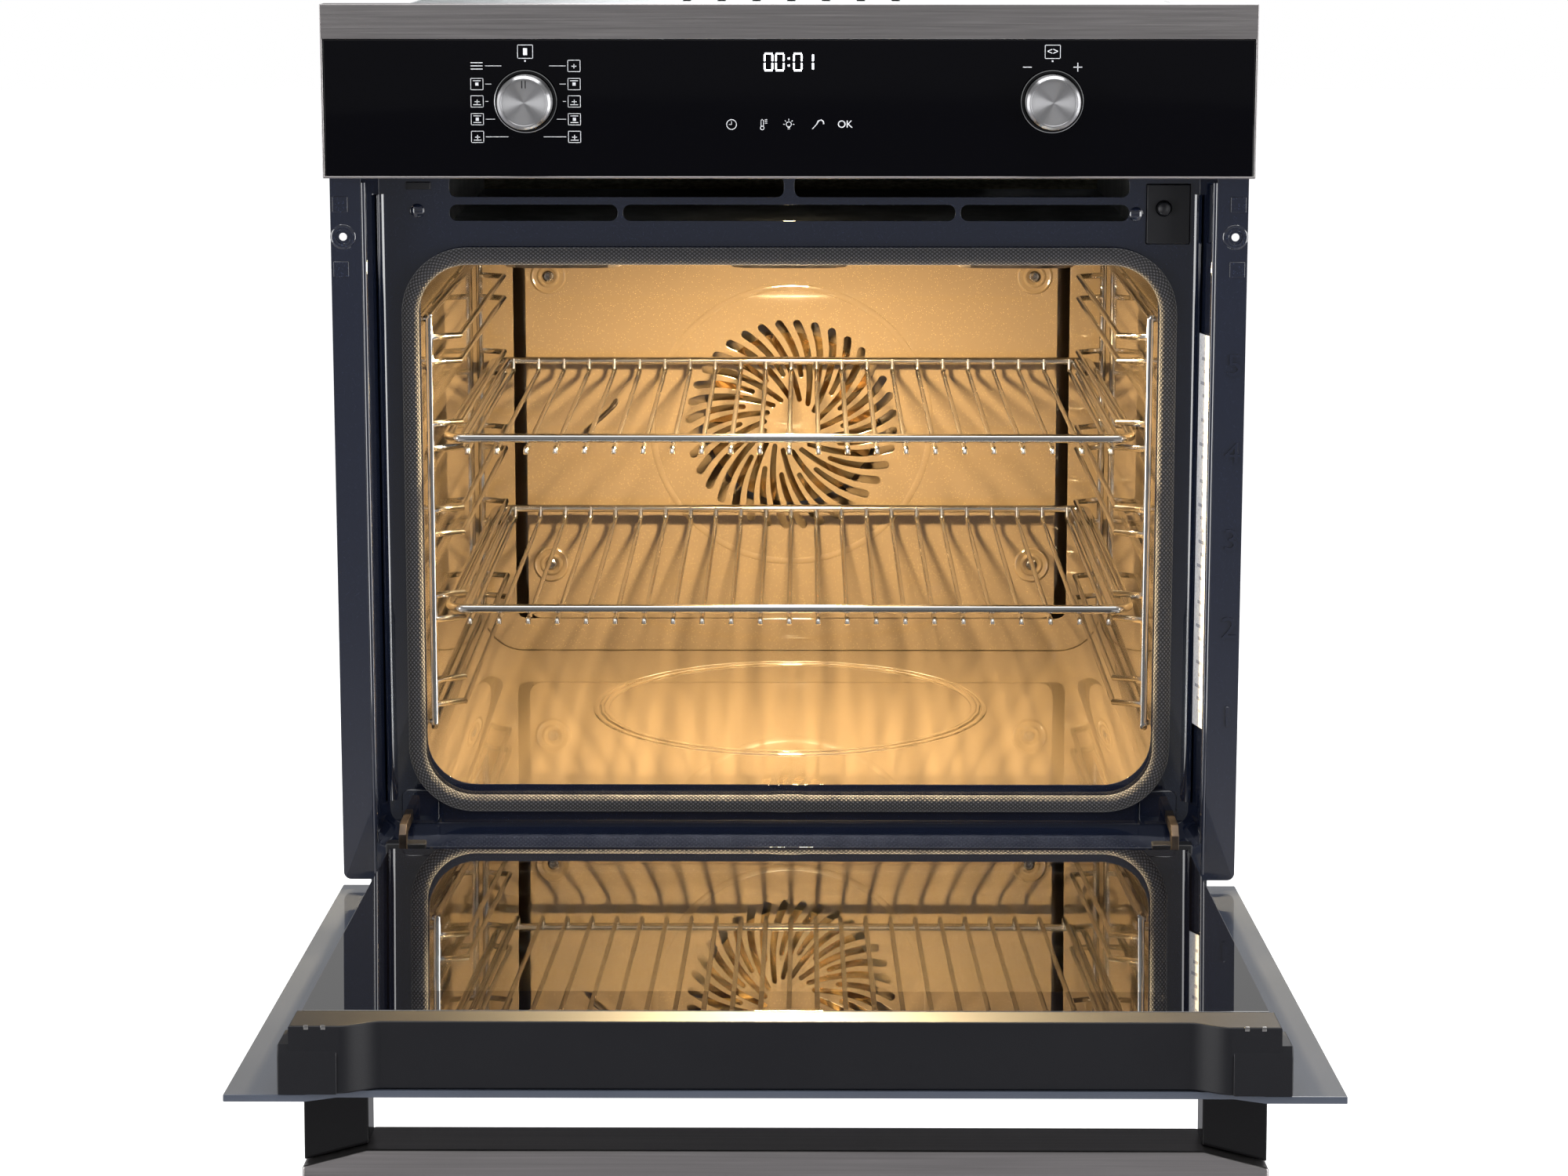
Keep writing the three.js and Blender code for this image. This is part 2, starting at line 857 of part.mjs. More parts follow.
function addLamp() {
  const low = shellTop + fit;
  const high = low + insulationTop - fit;
  const housing = cut(lampWindow(0, low, high), [
    lampWindow(lampWall, low - overshoot, high - lampWall),
  ]);
  piece(oven, "lamp_holder", housing, galvanised);

  const glass = lampWindow(lampWall + 2 * fit, shellTop - lampGlassThickness, shellTop);
  piece(oven, "lamp_glass", glass, clearGlass);

  const bulbZ = (low + high - lampWall) / 2;
  const bulbEnd = lampHalfWidth - lampWall - fit;
  const capsule = rod([-bulbEnd / 2, lampDepth, bulbZ], [bulbEnd / 2, lampDepth, bulbZ], bulbRadius);
  const socket = block(
    [-bulbEnd, -bulbEnd / 2 + overshoot],
    [lampDepth - bulbRadius - bulbSocketRim, lampDepth + bulbRadius + bulbSocketRim],
    [bulbZ - bulbRadius + overshoot, bulbZ + bulbRadius - overshoot],
  );
  piece(oven, "lamp_bulb", join([capsule, socket]), lampMaterial);
}

// ---- Fan compartment ----

// One slot of the rosette: a narrow strip that turns as it runs outwards.
function rosetteSlot(angle, inner) {
  const stations = 3;
  const twist = THREE.MathUtils.degToRad(slotTwist);
  const near = [];
  const far = [];
  for (let i = 0; i < stations; i += 1) {
    const radius = inner + ((slotOuter - inner) * i) / (stations - 1);
    const turn = angle + twist * Math.pow(radius / slotOuter, 2);
    const halfTurn = slotWidth / 2 / radius;
    near.push([radius * Math.cos(turn - halfTurn), fanZ + radius * Math.sin(turn - halfTurn)]);
    far.unshift([radius * Math.cos(turn + halfTurn), fanZ + radius * Math.sin(turn + halfTurn)]);
  }
  return extrude(polygon([...near, ...far]), "y", fanCoverDepth - sheet, fanCoverDepth + 2 * sheet);
}

const coverScrewPlaces = [
  [-coverScrewX, cavityTop - coverScrewDrop],
  [coverScrewX, cavityTop - coverScrewDrop],
  [-coverScrewX, cavityBottom + coverScrewRise],
  [coverScrewX, cavityBottom + coverScrewRise],
];

function addFanCover() {
  const low = cavityBottom + fanCoverBottomGap;
  const high = cavityTop - fanCoverTopGap;
  const face = block(
    [-fanCoverHalf, fanCoverHalf],
    [fanCoverDepth, fanCoverDepth + sheet],
    [low, high],
  );
  const topReturn = block(
    [-fanCoverHalf, fanCoverHalf],
    [fanCoverDepth, cavityBack - fit],
    [high - sheet, high],
  );
  const bottomReturn = block(
    [-fanCoverHalf, fanCoverHalf],
    [fanCoverDepth, cavityBack - fit],
    [low, low + sheet],
  );
  const slots = [];
  for (let i = 0; i < slotCount; i += 1) {
    const inner = i % 2 ? slotShortInner : slotInner;
    slots.push(rosetteSlot((i / slotCount) * 2 * Math.PI, inner));
  }
  const screwHoles = coverScrewPlaces.map(([x, z]) =>
    rod([x, fanCoverDepth - sheet, z], [x, fanCoverDepth + 3 * sheet, z], screwShank + fit, 10),
  );
  const grillHoles = [-elementLegX, elementLegX].map((x) =>
    rod(
      [x, fanCoverDepth - sheet, grillZ],
      [x, fanCoverDepth + 3 * sheet, grillZ],
      elementRadius + holeGap,
      10,
    ),
  );
  const cover = cut(join([face, topReturn, bottomReturn]), [
    ...slots,
    ...screwHoles,
    ...grillHoles,
  ]);
  piece(oven, "fan_cover", cover, enamel);

  coverScrewPlaces.forEach(([x, z], i) => {
    const head = fanCoverDepth - fit;
    const screw = turned(
      [
        [0, head + screwLength],
        [screwShank, head + screwLength],
        [screwShank, head],
        [screwHead, head],
        [screwFace, head - screwCrown + fit],
        [0, head - screwCrown],
      ],
      x,
      z,
      12,
    );
    piece(oven, `fan_cover_screw_${i + 1}`, screw, brushedSteel);
  });
}

function addFan() {
  const discY = cavityBack - fanDiscGap;
  const bladeFront = discY - fanBladeDepth;
  const hub = turned(
    [
      [0, bladeFront],
      [fanHub, bladeFront],
      [fanHub, discY],
      [fanRadius, discY],
      [fanRadius, discY + sheet],
      [shaftRadius, discY + sheet],
      [shaftRadius, cavityBack + shaftTail],
      [0, cavityBack + shaftTail],
    ],
    0,
    fanZ,
    24,
  );
  const blades = [];
  for (let i = 0; i < fanBlades; i += 1) {
    const blade = block(
      [fanRadius - fanBladeLength, fanRadius],
      [bladeFront, discY + sheet / 2],
      [-sheet / 2, sheet / 2],
    );
    const turnedBlade = blade.rotate([0, (360 * i) / fanBlades, 0]);
    blades.push(turnedBlade.translate([0, 0, fanZ]));
  }
  piece(oven, "fan_impeller", join([hub, ...blades]), galvanised);

  const motorFront = cavityBack + sheet + 2 * fit;
  const can = rod([0, motorFront, fanZ], [0, motorFront + motorLength, fanZ], motorRadius, 24);
  const foot = block(
    [-motorFootHalf, motorFootHalf],
    [motorFront, motorFront + 2 * sheet],
    [fanZ - motorFootHeight / 2, fanZ + motorFootHeight / 2],
  );
  const bore = rod(
    [0, motorFront - overshoot, fanZ],
    [0, cavityBack + boreTail, fanZ],
    shaftRadius + fit,
    16,
  );
  piece(oven, "fan_motor", cut(join([can, foot]), [bore]), motorSteel);
}

// ---- Heating elements ----

function addElements() {
  const openHalf = Math.asin(elementLegX / ringHeaterRadius);
  const steps = 28;
  const ring = [];
  for (let i = 0; i <= steps; i += 1) {
    const angle = openHalf + ((2 * Math.PI - 2 * openHalf) * i) / steps;
    ring.push([
      -ringHeaterRadius * Math.sin(angle),
      ringHeaterDepth,
      fanZ - ringHeaterRadius * Math.cos(angle),
    ]);
  }
  const ringEndZ = ring[0][2];
  const legs = [-elementLegX, elementLegX].flatMap((x) => [
    wire(
      [
        [x, ringHeaterDepth, ringEndZ + elementRadius / 2],
        [x, ringHeaterDepth, ringLegZ - elementRadius],
      ],
      elementRadius,
    ),
    rod([x, ringHeaterDepth, ringLegZ], [x, elementEnd, ringLegZ], elementRadius, 8),
  ]);
  piece(oven, "ring_heater", join([wire(ring, elementRadius), ...legs]), heaterSteel);

  // The grill runs to and fro under the ceiling, with its two outer runs longer than the others.
  const grillPitch = (2 * (cavityHalf - grillInset)) / (grillRuns - 1);
  const runs = [];
  for (let i = 0; i < grillRuns; i += 1) {
    const x = (i - (grillRuns - 1) / 2) * grillPitch;
    const rear = i === 0 || i === grillRuns - 1 ? grillOuterRear : grillInnerRear;
    const ends = [
      [x, rear, grillZ],
      [x, grillFront, grillZ],
    ];
    runs.push(...(i % 2 ? ends.reverse() : ends));
  }
  const grillPath = [
    [-elementLegX, elementEnd, grillZ],
    [-elementLegX, grillOuterRear, grillZ],
    ...runs,
    [elementLegX, grillOuterRear, grillZ],
    [elementLegX, elementEnd, grillZ],
  ];
  piece(oven, "grill_element", wire(bent(grillPath, elementBend), elementRadius), heaterSteel);

  const baseZ = cavityBottom - sheet - elementGap / 2;
  const basePath = [
    [-elementLegX, elementEnd, baseZ],
    [-elementLegX, baseElementRear, baseZ],
    [-baseElementHalf, baseElementRear, baseZ],
    [-baseElementHalf, baseElementFront, baseZ],
    [baseElementHalf, baseElementFront, baseZ],
    [baseElementHalf, baseElementRear, baseZ],
    [elementLegX, baseElementRear, baseZ],
    [elementLegX, elementEnd, baseZ],
  ];
  piece(oven, "base_element", wire(bent(basePath, elementBend), elementRadius), heaterSteel);
}

// ---- Side racks and shelves ----

function addSideRacks() {
  const low = railZ(1) - rackMargin;
  const high = railZ(railCount) + railPair + rackMargin;
  for (const [label, side] of sides) {
    const x = side * uprightX;
    const wires = [];
    for (const y of [rackFront, rackRear]) {
      wires.push(rod([x, y, low], [x, y, high], uprightRadius, 8));
      for (const z of [low + uprightRadius, high - uprightRadius]) {
        const wall = side * (cavityHalf - fit);
        wires.push(rod([x, y, z], [wall, y, z], uprightRadius * 0.8, 8));
      }
    }
    for (const z of [low, high]) {
      wires.push(
        rod(
          [x, rackFront - uprightRadius, z],
          [x, rackRear + uprightRadius, z],
          uprightRadius,
          8,
        ),
      );
    }
    for (let level = 1; level <= railCount; level += 1) {
      for (const z of [railZ(level), railZ(level) + railPair]) {
        const inner = side * railX;
        wires.push(
          wire(
            [
              [x, rackFront, z],
              [inner, rackFront + railReach / 2, z],
              [inner, rackRear - railReach / 2, z],
              [x, rackRear, z],
            ],
            railRadius,
          ),
        );
      }
    }
    piece(oven, `side_rack_${label}`, join(wires), chrome);
  }
}

function shelfSolid(level) {
  const z = railZ(level) + railRadius + fit + shelfBarRadius;
  const outerX = cavityHalf - shelfEdgeGap;
  const wireZ = z - shelfWireDrop;
  const parts = [
    wire(
      bent(
        [
          [-outerX, shelfRear, z],
          [-outerX, shelfFront, z],
          [outerX, shelfFront, z],
          [outerX, shelfRear, z],
        ],
        shelfCorner,
      ),
      shelfBarRadius,
      8,
    ),
    rod([-outerX, shelfRear, z], [outerX, shelfRear, z], shelfBarRadius, 8),
  ];
  for (const [, side] of sides) {
    const x = side * railX;
    parts.push(rod([x, shelfFront, z], [x, shelfRear, z], shelfBarRadius * 0.9, 8));
  }
  const wireHalfCount = Math.floor((railX - railRadius - shelfWireRadius) / shelfWirePitch);
  for (let i = -wireHalfCount; i <= wireHalfCount; i += 1) {
    const x = i * shelfWirePitch;
    parts.push(
      wire(
        [
          [x, shelfFront, z],
          [x, shelfFront + shelfWireDrop, wireZ],
          [x, shelfRear - shelfWireDrop, wireZ],
          [x, shelfRear, z],
        ],
        shelfWireRadius,
      ),
    );
  }
  return join(parts);
}

function addShelves() {
  piece(oven, "shelf_upper", shelfSolid(upperLevel), chrome);
  piece(oven, "shelf_lower", shelfSolid(lowerLevel), chrome);
}

// ---- Fascia and controls ----

function knobHoles(from, to, radius) {
  return sides.map(([, side]) =>
    rod([side * knobX, from, knobZ], [side * knobX, to, knobZ], radius, 24),
  );
}

function addFascia() {
  const shellHalf = half - fasciaWall;
  const shell = cut(
    block([-half, half], [0, fasciaBack], [fasciaBottom, height]),
    [
      block(
        [-shellHalf, shellHalf],
        [fasciaWall, fasciaBack + overshoot],
        [fasciaBottom + fasciaWall, height - fasciaWall],
      ),
      block(
        [-shellHalf, shellHalf],
        [-overshoot, 2 * fasciaWall],
        [fasciaBottom + fasciaWall, stripBottom],
      ),
    ],
  );
  piece(oven, "fascia_trim", shell, brushedSteel);

  const glassHalf = shellHalf - fit;
  const pane = block(
    [-glassHalf, glassHalf],
    [glassFront, glassFront + fasciaGlass],
    [fasciaBottom + fasciaWall + fit, stripBottom - fit],
  );
  const glassHoles = knobHoles(-overshoot, 2 * fasciaGlass, bezelRadius + fit);
  piece(oven, "fascia_glass", cut(pane, glassHoles), blackGlass);

  const carrierLow = fasciaBottom + fasciaWall + fit;
  const carrierHigh = height - fasciaWall - fit;
  const carrier = cut(
    block([-glassHalf, glassHalf], [carrierFront, fasciaBack - fit], [carrierLow, carrierHigh]),
    [
      block(
        [carrierRim - glassHalf, glassHalf - carrierRim],
        [carrierBack, fasciaBack],
        [carrierLow + carrierRim, carrierHigh - carrierRim],
      ),
      block(
        [displayLapX - displayHalfWidth, displayHalfWidth - displayLapX],
        [carrierFront - overshoot, carrierBack + overshoot],
        [displayZ - displayHalfHeight + displayLapZ, displayZ + displayHalfHeight - displayLapZ],
      ),
      ...knobHoles(carrierFront - overshoot, carrierBack + overshoot, bezelRadius + fit),
    ],
  );
  piece(oven, "fascia_carrier", carrier, blackPlastic);

  const displayBack = carrierBack + fit + displayDepth;
  const displayTop = displayZ + displayHalfHeight;
  const display = block(
    [-displayHalfWidth, displayHalfWidth],
    [carrierBack + fit, displayBack],
    [displayZ - displayHalfHeight, displayTop],
  );
  const board = block(
    [-boardHalfWidth, boardHalfWidth],
    [displayBack, displayBack + boardThickness],
    [displayTop - boardHeight, displayTop],
  );
  piece(oven, "control_board", join([display, board]), boardMaterial);
}

function addKnob(label, switchName, x) {
  const bezel = turned(
    [
      [bezelRadius - bezelWall, -bezelReach],
      [bezelRadius, -bezelReach],
      [bezelRadius, carrierBack],
      [bezelRadius - bezelWall, carrierBack],
      [bezelRadius - bezelWall, -bezelReach],
    ],
    x,
    knobZ,
    32,
  );
  piece(oven, `${label}_bezel`, bezel, brushedSteel);

  const knob = turned(
    [
      [0, knobDish - knobReach],
      [knobRadius - knobRim, knobDish / 2 - knobReach],
      [knobRadius - knobChamfer, -knobReach],
      [knobRadius, knobChamfer - knobReach],
      [knobRadius, carrierFront - knobTailGap],
      [spindleRadius, carrierFront - knobTailGap],
      [spindleRadius, spindleEnd],
      [0, spindleEnd],
    ],
    x,
    knobZ,
    32,
  );
  piece(oven, `${label}_knob`, knob, brushedSteel);

  const body = cut(
    block(
      [x - switchHalf, x + switchHalf],
      [carrierBack + fit, carrierBack + fit + switchDepth],
      [knobZ - switchHalf, knobZ + switchHalf],
    ),
    [
      rod(
        [x, carrierBack - overshoot, knobZ],
        [x, spindleEnd + overshoot, knobZ],
        spindleRadius + fit,
        16,
      ),
    ],
  );
  piece(oven, switchName, body, blackPlastic);
}

// ---- Cooling air ----

function addCoolingAir() {
  const low = cavityTop + sheet + insulationTop + 2 * fit;
  const high = low + ductHeight;
  const ductHalf = ventHalf + ductOverlap;
  const duct = cut(
    block([-ductHalf, ductHalf], [behindPlate, ductRear], [low, high]),
    [
      block(
        [sheet - ductHalf, ductHalf - sheet],
        [behindPlate - overshoot, ductRear + overshoot],
        [low + sheet, high - sheet],
      ),
    ],
  );
  piece(oven, "air_duct", duct, galvanised);

  const rotorZ = low + sheet + blowerRadius + blowerClearance;
  const throat = blowerDepth - blowerRadius - blowerClearance;
  const scroll = (grow) => {
    const reach = blowerRadius + blowerClearance + grow;
    const front = ductRear + fit - (grow > 0 ? 0 : overshoot);
    const outline = new THREE.Shape();
    outline.moveTo(front, rotorZ - reach);
    outline.absarc(blowerDepth, rotorZ, reach, -Math.PI / 2, Math.PI / 2);
    outline.lineTo(throat - grow, rotorZ + reach);
    outline.lineTo(throat - grow, high - sheet + grow);
    outline.lineTo(front, high - sheet + grow);
    return outline;
  };
  const innerEnd = blowerHalf + blowerEndGap;
  const outerEnd = innerEnd + sheet;
  const intake = block(
    [-blowerHalf, blowerHalf],
    [throat - 2 * sheet, throat + overshoot],
    [high + 2 * sheet, rotorZ + blowerRadius],
  );
  const shaftHole = rod(
    [innerEnd - overshoot, blowerDepth, rotorZ],
    [outerEnd + overshoot, blowerDepth, rotorZ],
    blowerShaftRadius + blowerShaftGap,
    12,
  );
  const housing = cut(extrude(scroll(sheet), "x", -outerEnd, outerEnd), [
    extrude(scroll(0), "x", -innerEnd, innerEnd),
    intake,
    shaftHole,
  ]);
  piece(oven, "blower_housing", housing, galvanised);

  const endDisc = (x) => rod([x, 0, 0], [x + blowerDisc, 0, 0], blowerRadius, 24);
  const shaft = rod([-blowerHalf, 0, 0], [outerEnd + blowerShaftTail, 0, 0], blowerShaftRadius, 10);
  const blades = [];
  for (let i = 0; i < blowerBlades; i += 1) {
    const blade = block(
      [blowerDisc / 2 - blowerHalf, blowerHalf - blowerDisc / 2],
      [-sheet / 2, sheet / 2],
      [blowerRadius - fit - blowerBladeHeight, blowerRadius - fit],
    );
    blades.push(blade.rotate([(360 * i) / blowerBlades, 0, 0]));
  }
  const rotor = join([endDisc(-blowerHalf), endDisc(blowerHalf - blowerDisc), shaft, ...blades]);
  piece(oven, "blower_rotor", rotor.translate([0, blowerDepth, rotorZ]), galvanised);

  const motorEnd = outerEnd + fit + blowerMotorLength;
  const motor = cut(
    rod(
      [outerEnd + fit, blowerDepth, rotorZ],
      [motorEnd, blowerDepth, rotorZ],
      blowerMotorRadius,
      20,
    ),
    [
      rod(
        [outerEnd, blowerDepth, rotorZ],
        [outerEnd + blowerBoreTail, blowerDepth, rotorZ],
        blowerShaftRadius + fit,
        12,
      ),
    ],
  );
  piece(oven, "blower_motor", motor, motorSteel);
}

// ---- Door switch and mains terminal ----

function addDoorSwitch() {
  const pocket = switchPocket(0);
  const front = plateFront - switchBodyReach;
  const body = cut(block(pocket.x, [front, front + switchBodyDepth], pocket.z), [
    rod(
      [plungerX, front - overshoot, plungerZ],
      [plungerX, front + plungerBore, plungerZ],
      plungerRadius + fit,
      16,
    ),
  ]);
  piece(oven, "door_switch_body", body, blackPlastic);

  const tip = plateFront - plungerReach;
  const plunger = turned(
    [
      [0, tip],
      [plungerRadius - plungerTip, tip],
      [plungerRadius, tip + plungerTip],
      [plungerRadius, front + plungerTail],
      [0, front + plungerTail],
    ],
    plungerX,
    plungerZ,
    16,
  );
  piece(oven, "door_switch_plunger", plunger, glossPlastic);
}

function terminalCutout() {
  return block(
    [terminalX - terminalHalf - fit, terminalX + terminalHalf + fit],
    [depth - 3 * sheet, depth + sheet],
    [terminalTop - terminalHeight - fit, terminalTop + fit],
  );
}

function addTerminalBox() {
  const box = block(
    [terminalX - terminalHalf, terminalX + terminalHalf],
    [depth - terminalDepth, depth],
    [terminalTop - terminalHeight, terminalTop],
  );
  const entry = rod(
    [terminalX, depth + overshoot, terminalTop - terminalHeight / 2],
    [terminalX, depth - terminalDepth / 2, terminalTop - terminalHeight / 2],
    cableEntryRadius,
    16,
  );
  piece(oven, "terminal_box", cut(box, [entry]), blackPlastic);
}

// ---- Hinges ----

function addHinges() {
  for (const [label, side] of sides) {
    const profile = polygon([
      [armFront, hingeZ],
      [armBack, hingeZ],
      [armBack, armBottom - armElbow],
      [armBack + armElbow, armBottom],
      [armTail, armBottom],
      [armTail, armTop],
      [armBack, armTop],
      [armFront, armTop - armElbow],
    ]);
    const arm = join([
      extrude(profile, "x", ...spanOn(side, hingeX - armThickness / 2, hingeX + armThickness / 2)),
      rod(
        [side * (hingeX - armThickness / 2), hingeY, hingeZ],
        [side * (hingeX + armThickness / 2), hingeY, hingeZ],
        pivotRadius,
        16,
      ),
      rod(
        [side * (hingeX - hingeCaseWidth / 2 + 2 * sheet), hingeY, hingeZ],
        [side * (hingeX + hingeCaseWidth / 2 - 2 * sheet), hingeY, hingeZ],
        pinRadius,
        16,
      ),
    ]);
    piece(oven, `hinge_arm_${label}`, arm, galvanised);

    const receiver = cut(
      block(
        spanOn(side, hingeX - receiverHalf, hingeX + receiverHalf),
        [behindPlate, receiverRear],
        [armBottom - receiverBelow, armTop + receiverAbove],
      ),
      [
        block(
          spanOn(side, hingeX - armThickness / 2 - fit, hingeX + armThickness / 2 + fit),
          [behindPlate - overshoot, armTail + fit],
          [armBottom - fit, armTop + receiverPlay],
        ),
      ],
    );
    piece(oven, `hinge_receiver_${label}`, receiver, galvanised);
  }
}

// ---- Door ----

const doorPivot = new THREE.Group();
doorPivot.position.set(0, hingeY, hingeZ);
doorPivot.rotation.x = THREE.MathUtils.degToRad(doorOpenAngle);
oven.add(doorPivot);
const door = new THREE.Group();
door.position.set(0, -hingeY, -hingeZ);
doorPivot.add(door);

function addDoorGlass() {
  const outerHalf = half - doorInset;
  const notch = outerGlassNotch;
  const outline = polygon([
    [-outerHalf, 0],
    [outerHalf, 0],
    [outerHalf, doorTop],
    [outerGlassNotchHalf + notch, doorTop],
    [outerGlassNotchHalf - notch, doorTop - notch],
    [notch - outerGlassNotchHalf, doorTop - notch],
    [-outerGlassNotchHalf - notch, doorTop],
    [-outerHalf, doorTop],
  ]);
  piece(door, "door_outer_glass", extrude(outline, "y", 0, doorGlass), blackGlass);

  const inner = block(
    [-innerGlassHalf, innerGlassHalf],
    [doorDepth - doorGlass, doorDepth],
    [innerGlassBottom, innerGlassTop],
  );
  piece(door, "door_inner_glass", inner, clearGlass);

  const middleHalf = innerGlassHalf - columnWidth - fit;
  const middle = block(
    [-middleHalf, middleHalf],
    [middleGlassDepth, middleGlassDepth + middleGlassThickness],
    [innerGlassBottom, innerGlassTop],
  );
  piece(door, "door_middle_glass", middle, clearGlass);
}

function addDoorFrame() {
  const outerFace = doorGlass + fit;
  const innerFace = doorDepth - doorGlass - fit;
  const caseTop = hingeCaseTop + fit;
  for (const [label, side] of sides) {
    const x = spanOn(side, innerGlassHalf - columnWidth, innerGlassHalf);
    const column = join([
      block(x, [hingeCaseDepth + fit, innerFace], [innerGlassBottom, innerGlassTop]),
      block(x, [outerFace, innerFace], [caseTop, innerGlassTop]),
    ]);
    piece(door, `door_column_${label}`, column, blackPlastic);
  }

  const capLow = innerGlassTop + fit;
  const beamTop = doorTop - capBeamDrop;
  const beam = block([-capHornOuter, capHornOuter], [outerFace, doorDepth], [capLow, beamTop]);
  const horns = sides.map(([, side]) => {
    const outline = polygon([
      [side * (capHornInner - capBeamDrop), beamTop - overshoot],
      [side * capHornOuter, beamTop - overshoot],
      [side * capHornOuter, doorTop],
      [side * capHornInner, doorTop],
      [side * (capHornInner - capBeamDrop), beamTop],
    ]);
    return extrude(outline, "y", outerFace, doorDepth);
  });
  const ears = sides.map(([, side]) =>
    block(
      spanOn(side, capHornInner, capHornOuter + capEarReach),
      [outerFace, capEarDepth],
      [capLow, doorTop],
    ),
  );
  piece(door, "door_top_cap", join([beam, ...horns, ...ears]), blackPlastic);

  const railHalf = hingeX - hingeCaseWidth / 2 - hingeCaseGap;
  const rail = join([
    block([-railHalf, railHalf], [outerFace, railDepth], [railBottom, innerGlassBottom - fit]),
    block(
      [-railHalf, railHalf],
      [outerFace, innerFace],
      [innerGlassBottom - railLedge, innerGlassBottom - fit],
    ),
  ]);
  piece(door, "door_bottom_rail", rail, blackPlastic);
}

// Open channels that hold the hinge pins and the balance springs.
function addHingeCases() {
  const outerFace = doorGlass + fit;
  for (const [label, side] of sides) {
    const low = hingeX - hingeCaseWidth / 2;
    const high = hingeX + hingeCaseWidth / 2;
    const channel = cut(
      block(
        spanOn(side, low, high),
        [outerFace, hingeCaseDepth],
        [hingeCaseBottom, hingeCaseTop],
      ),
      [
        block(
          spanOn(side, low + sheet, high - sheet),
          [outerFace + sheet, hingeCaseDepth + overshoot],
          [hingeCaseBottom - overshoot, hingeCaseTop - sheet],
        ),
        block(
          spanOn(side, low + sheet, high - sheet),
          [outerFace - overshoot, hingeCaseDepth],
          [hingeCaseBottom - overshoot, hingeZ + hingeCaseMouth],
        ),
      ],
    );
    piece(door, `hinge_case_${label}`, channel, galvanised);
  }
}

function addHandle() {
  const barTop = doorTop - handleDrop;
  const barBottom = barTop - handleHeight;
  const barBack = handleThickness - handleFront;
  const bracketInner = handleHalf - bracketWidth;
  const mitreY = barBack - mitreDepth;
  const barOutline = polygon([
    [-handleHalf, -handleFront],
    [handleHalf, -handleFront],
    [handleHalf, mitreY - fit],
    [bracketInner, barBack],
    [-bracketInner, barBack],
    [-handleHalf, mitreY - fit],
  ]);
  piece(door, "handle_bar", extrude(barOutline, "z", barBottom, barTop), brushedSteel);

  const bracketMiddle = (barTop + barBottom) / 2;
  for (const [label, side] of sides) {
    const outline = polygon([
      [side * bracketInner, -fit],
      [side * bracketInner, barBack + fit],
      [side * handleHalf, mitreY + fit],
      [side * handleHalf, -fit],
    ]);
    const bracket = extrude(
      outline,
      "z",
      bracketMiddle - bracketHeight / 2,
      bracketMiddle + bracketHeight / 2,
    );
    piece(door, `handle_bracket_${label}`, bracket, glossPlastic);
  }
}

addCasing();
addFrontFrame();
addCavity();
addGasket();
addLamp();
addFanCover();
addFan();
addElements();
addSideRacks();
addShelves();
addFascia();
addKnob("function", "function_switch", -knobX);
addKnob("setting", "setting_encoder", knobX);
addCoolingAir();
addDoorSwitch();
addTerminalBox();
addHinges();
addDoorGlass();
addDoorFrame();
addHingeCases();
addHandle();

export default root;
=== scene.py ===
# The looks of a built-in wall oven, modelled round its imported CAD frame.
# Sizes are in millimetres where a name or a call says so, and everything in Blender is in metres.
import json
import math

import bpy
from bpy.props import FloatProperty, FloatVectorProperty, IntProperty, PointerProperty
from mathutils import Matrix, Vector


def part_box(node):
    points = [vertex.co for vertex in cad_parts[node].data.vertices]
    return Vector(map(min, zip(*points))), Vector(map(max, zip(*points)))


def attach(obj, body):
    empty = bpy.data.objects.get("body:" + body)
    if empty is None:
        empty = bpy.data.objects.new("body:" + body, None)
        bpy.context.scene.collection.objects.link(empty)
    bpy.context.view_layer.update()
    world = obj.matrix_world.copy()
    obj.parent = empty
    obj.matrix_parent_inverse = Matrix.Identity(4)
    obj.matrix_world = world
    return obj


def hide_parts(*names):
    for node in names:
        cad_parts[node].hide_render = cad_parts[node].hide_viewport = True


bl_info = {
    "name": "Wall Oven",
    "version": (1, 0, 0),
    "blender": (4, 5, 0),
    "location": "View3D > Sidebar > Oven",
    "description": "Models a built-in wall oven with an open drop-down door",
    "category": "Add Mesh",
}

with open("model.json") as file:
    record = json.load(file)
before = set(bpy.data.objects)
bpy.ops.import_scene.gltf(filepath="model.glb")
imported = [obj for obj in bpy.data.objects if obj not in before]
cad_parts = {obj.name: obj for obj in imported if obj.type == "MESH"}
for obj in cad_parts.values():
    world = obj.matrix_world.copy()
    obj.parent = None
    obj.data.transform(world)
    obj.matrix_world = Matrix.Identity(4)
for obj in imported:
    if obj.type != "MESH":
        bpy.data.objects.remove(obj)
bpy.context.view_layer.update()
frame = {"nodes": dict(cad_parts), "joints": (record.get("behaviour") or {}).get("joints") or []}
MM = 0.001

# The oven's own corner: the middle of the fascia's front, at the closed door's bottom edge.
FRONT_HEIGHT = 595.0
ORIGIN = Vector((0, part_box("fascia_trim")[0].y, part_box("fascia_trim")[1].z - FRONT_HEIGHT * MM))
DOOR_HINGE = next(j for j in frame["joints"] if j["name"] == "door_hinge")


def at(x, y, z):
    """A point from millimetres to the right, behind the fascia's front and over the door's bottom."""
    return ORIGIN + Vector((x, y, z)) * MM


def span(node):
    """A CAD node's lowest and highest corner in the same millimetres as at() takes."""
    low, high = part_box(node)
    return (low - ORIGIN) / MM, (high - ORIGIN) / MM


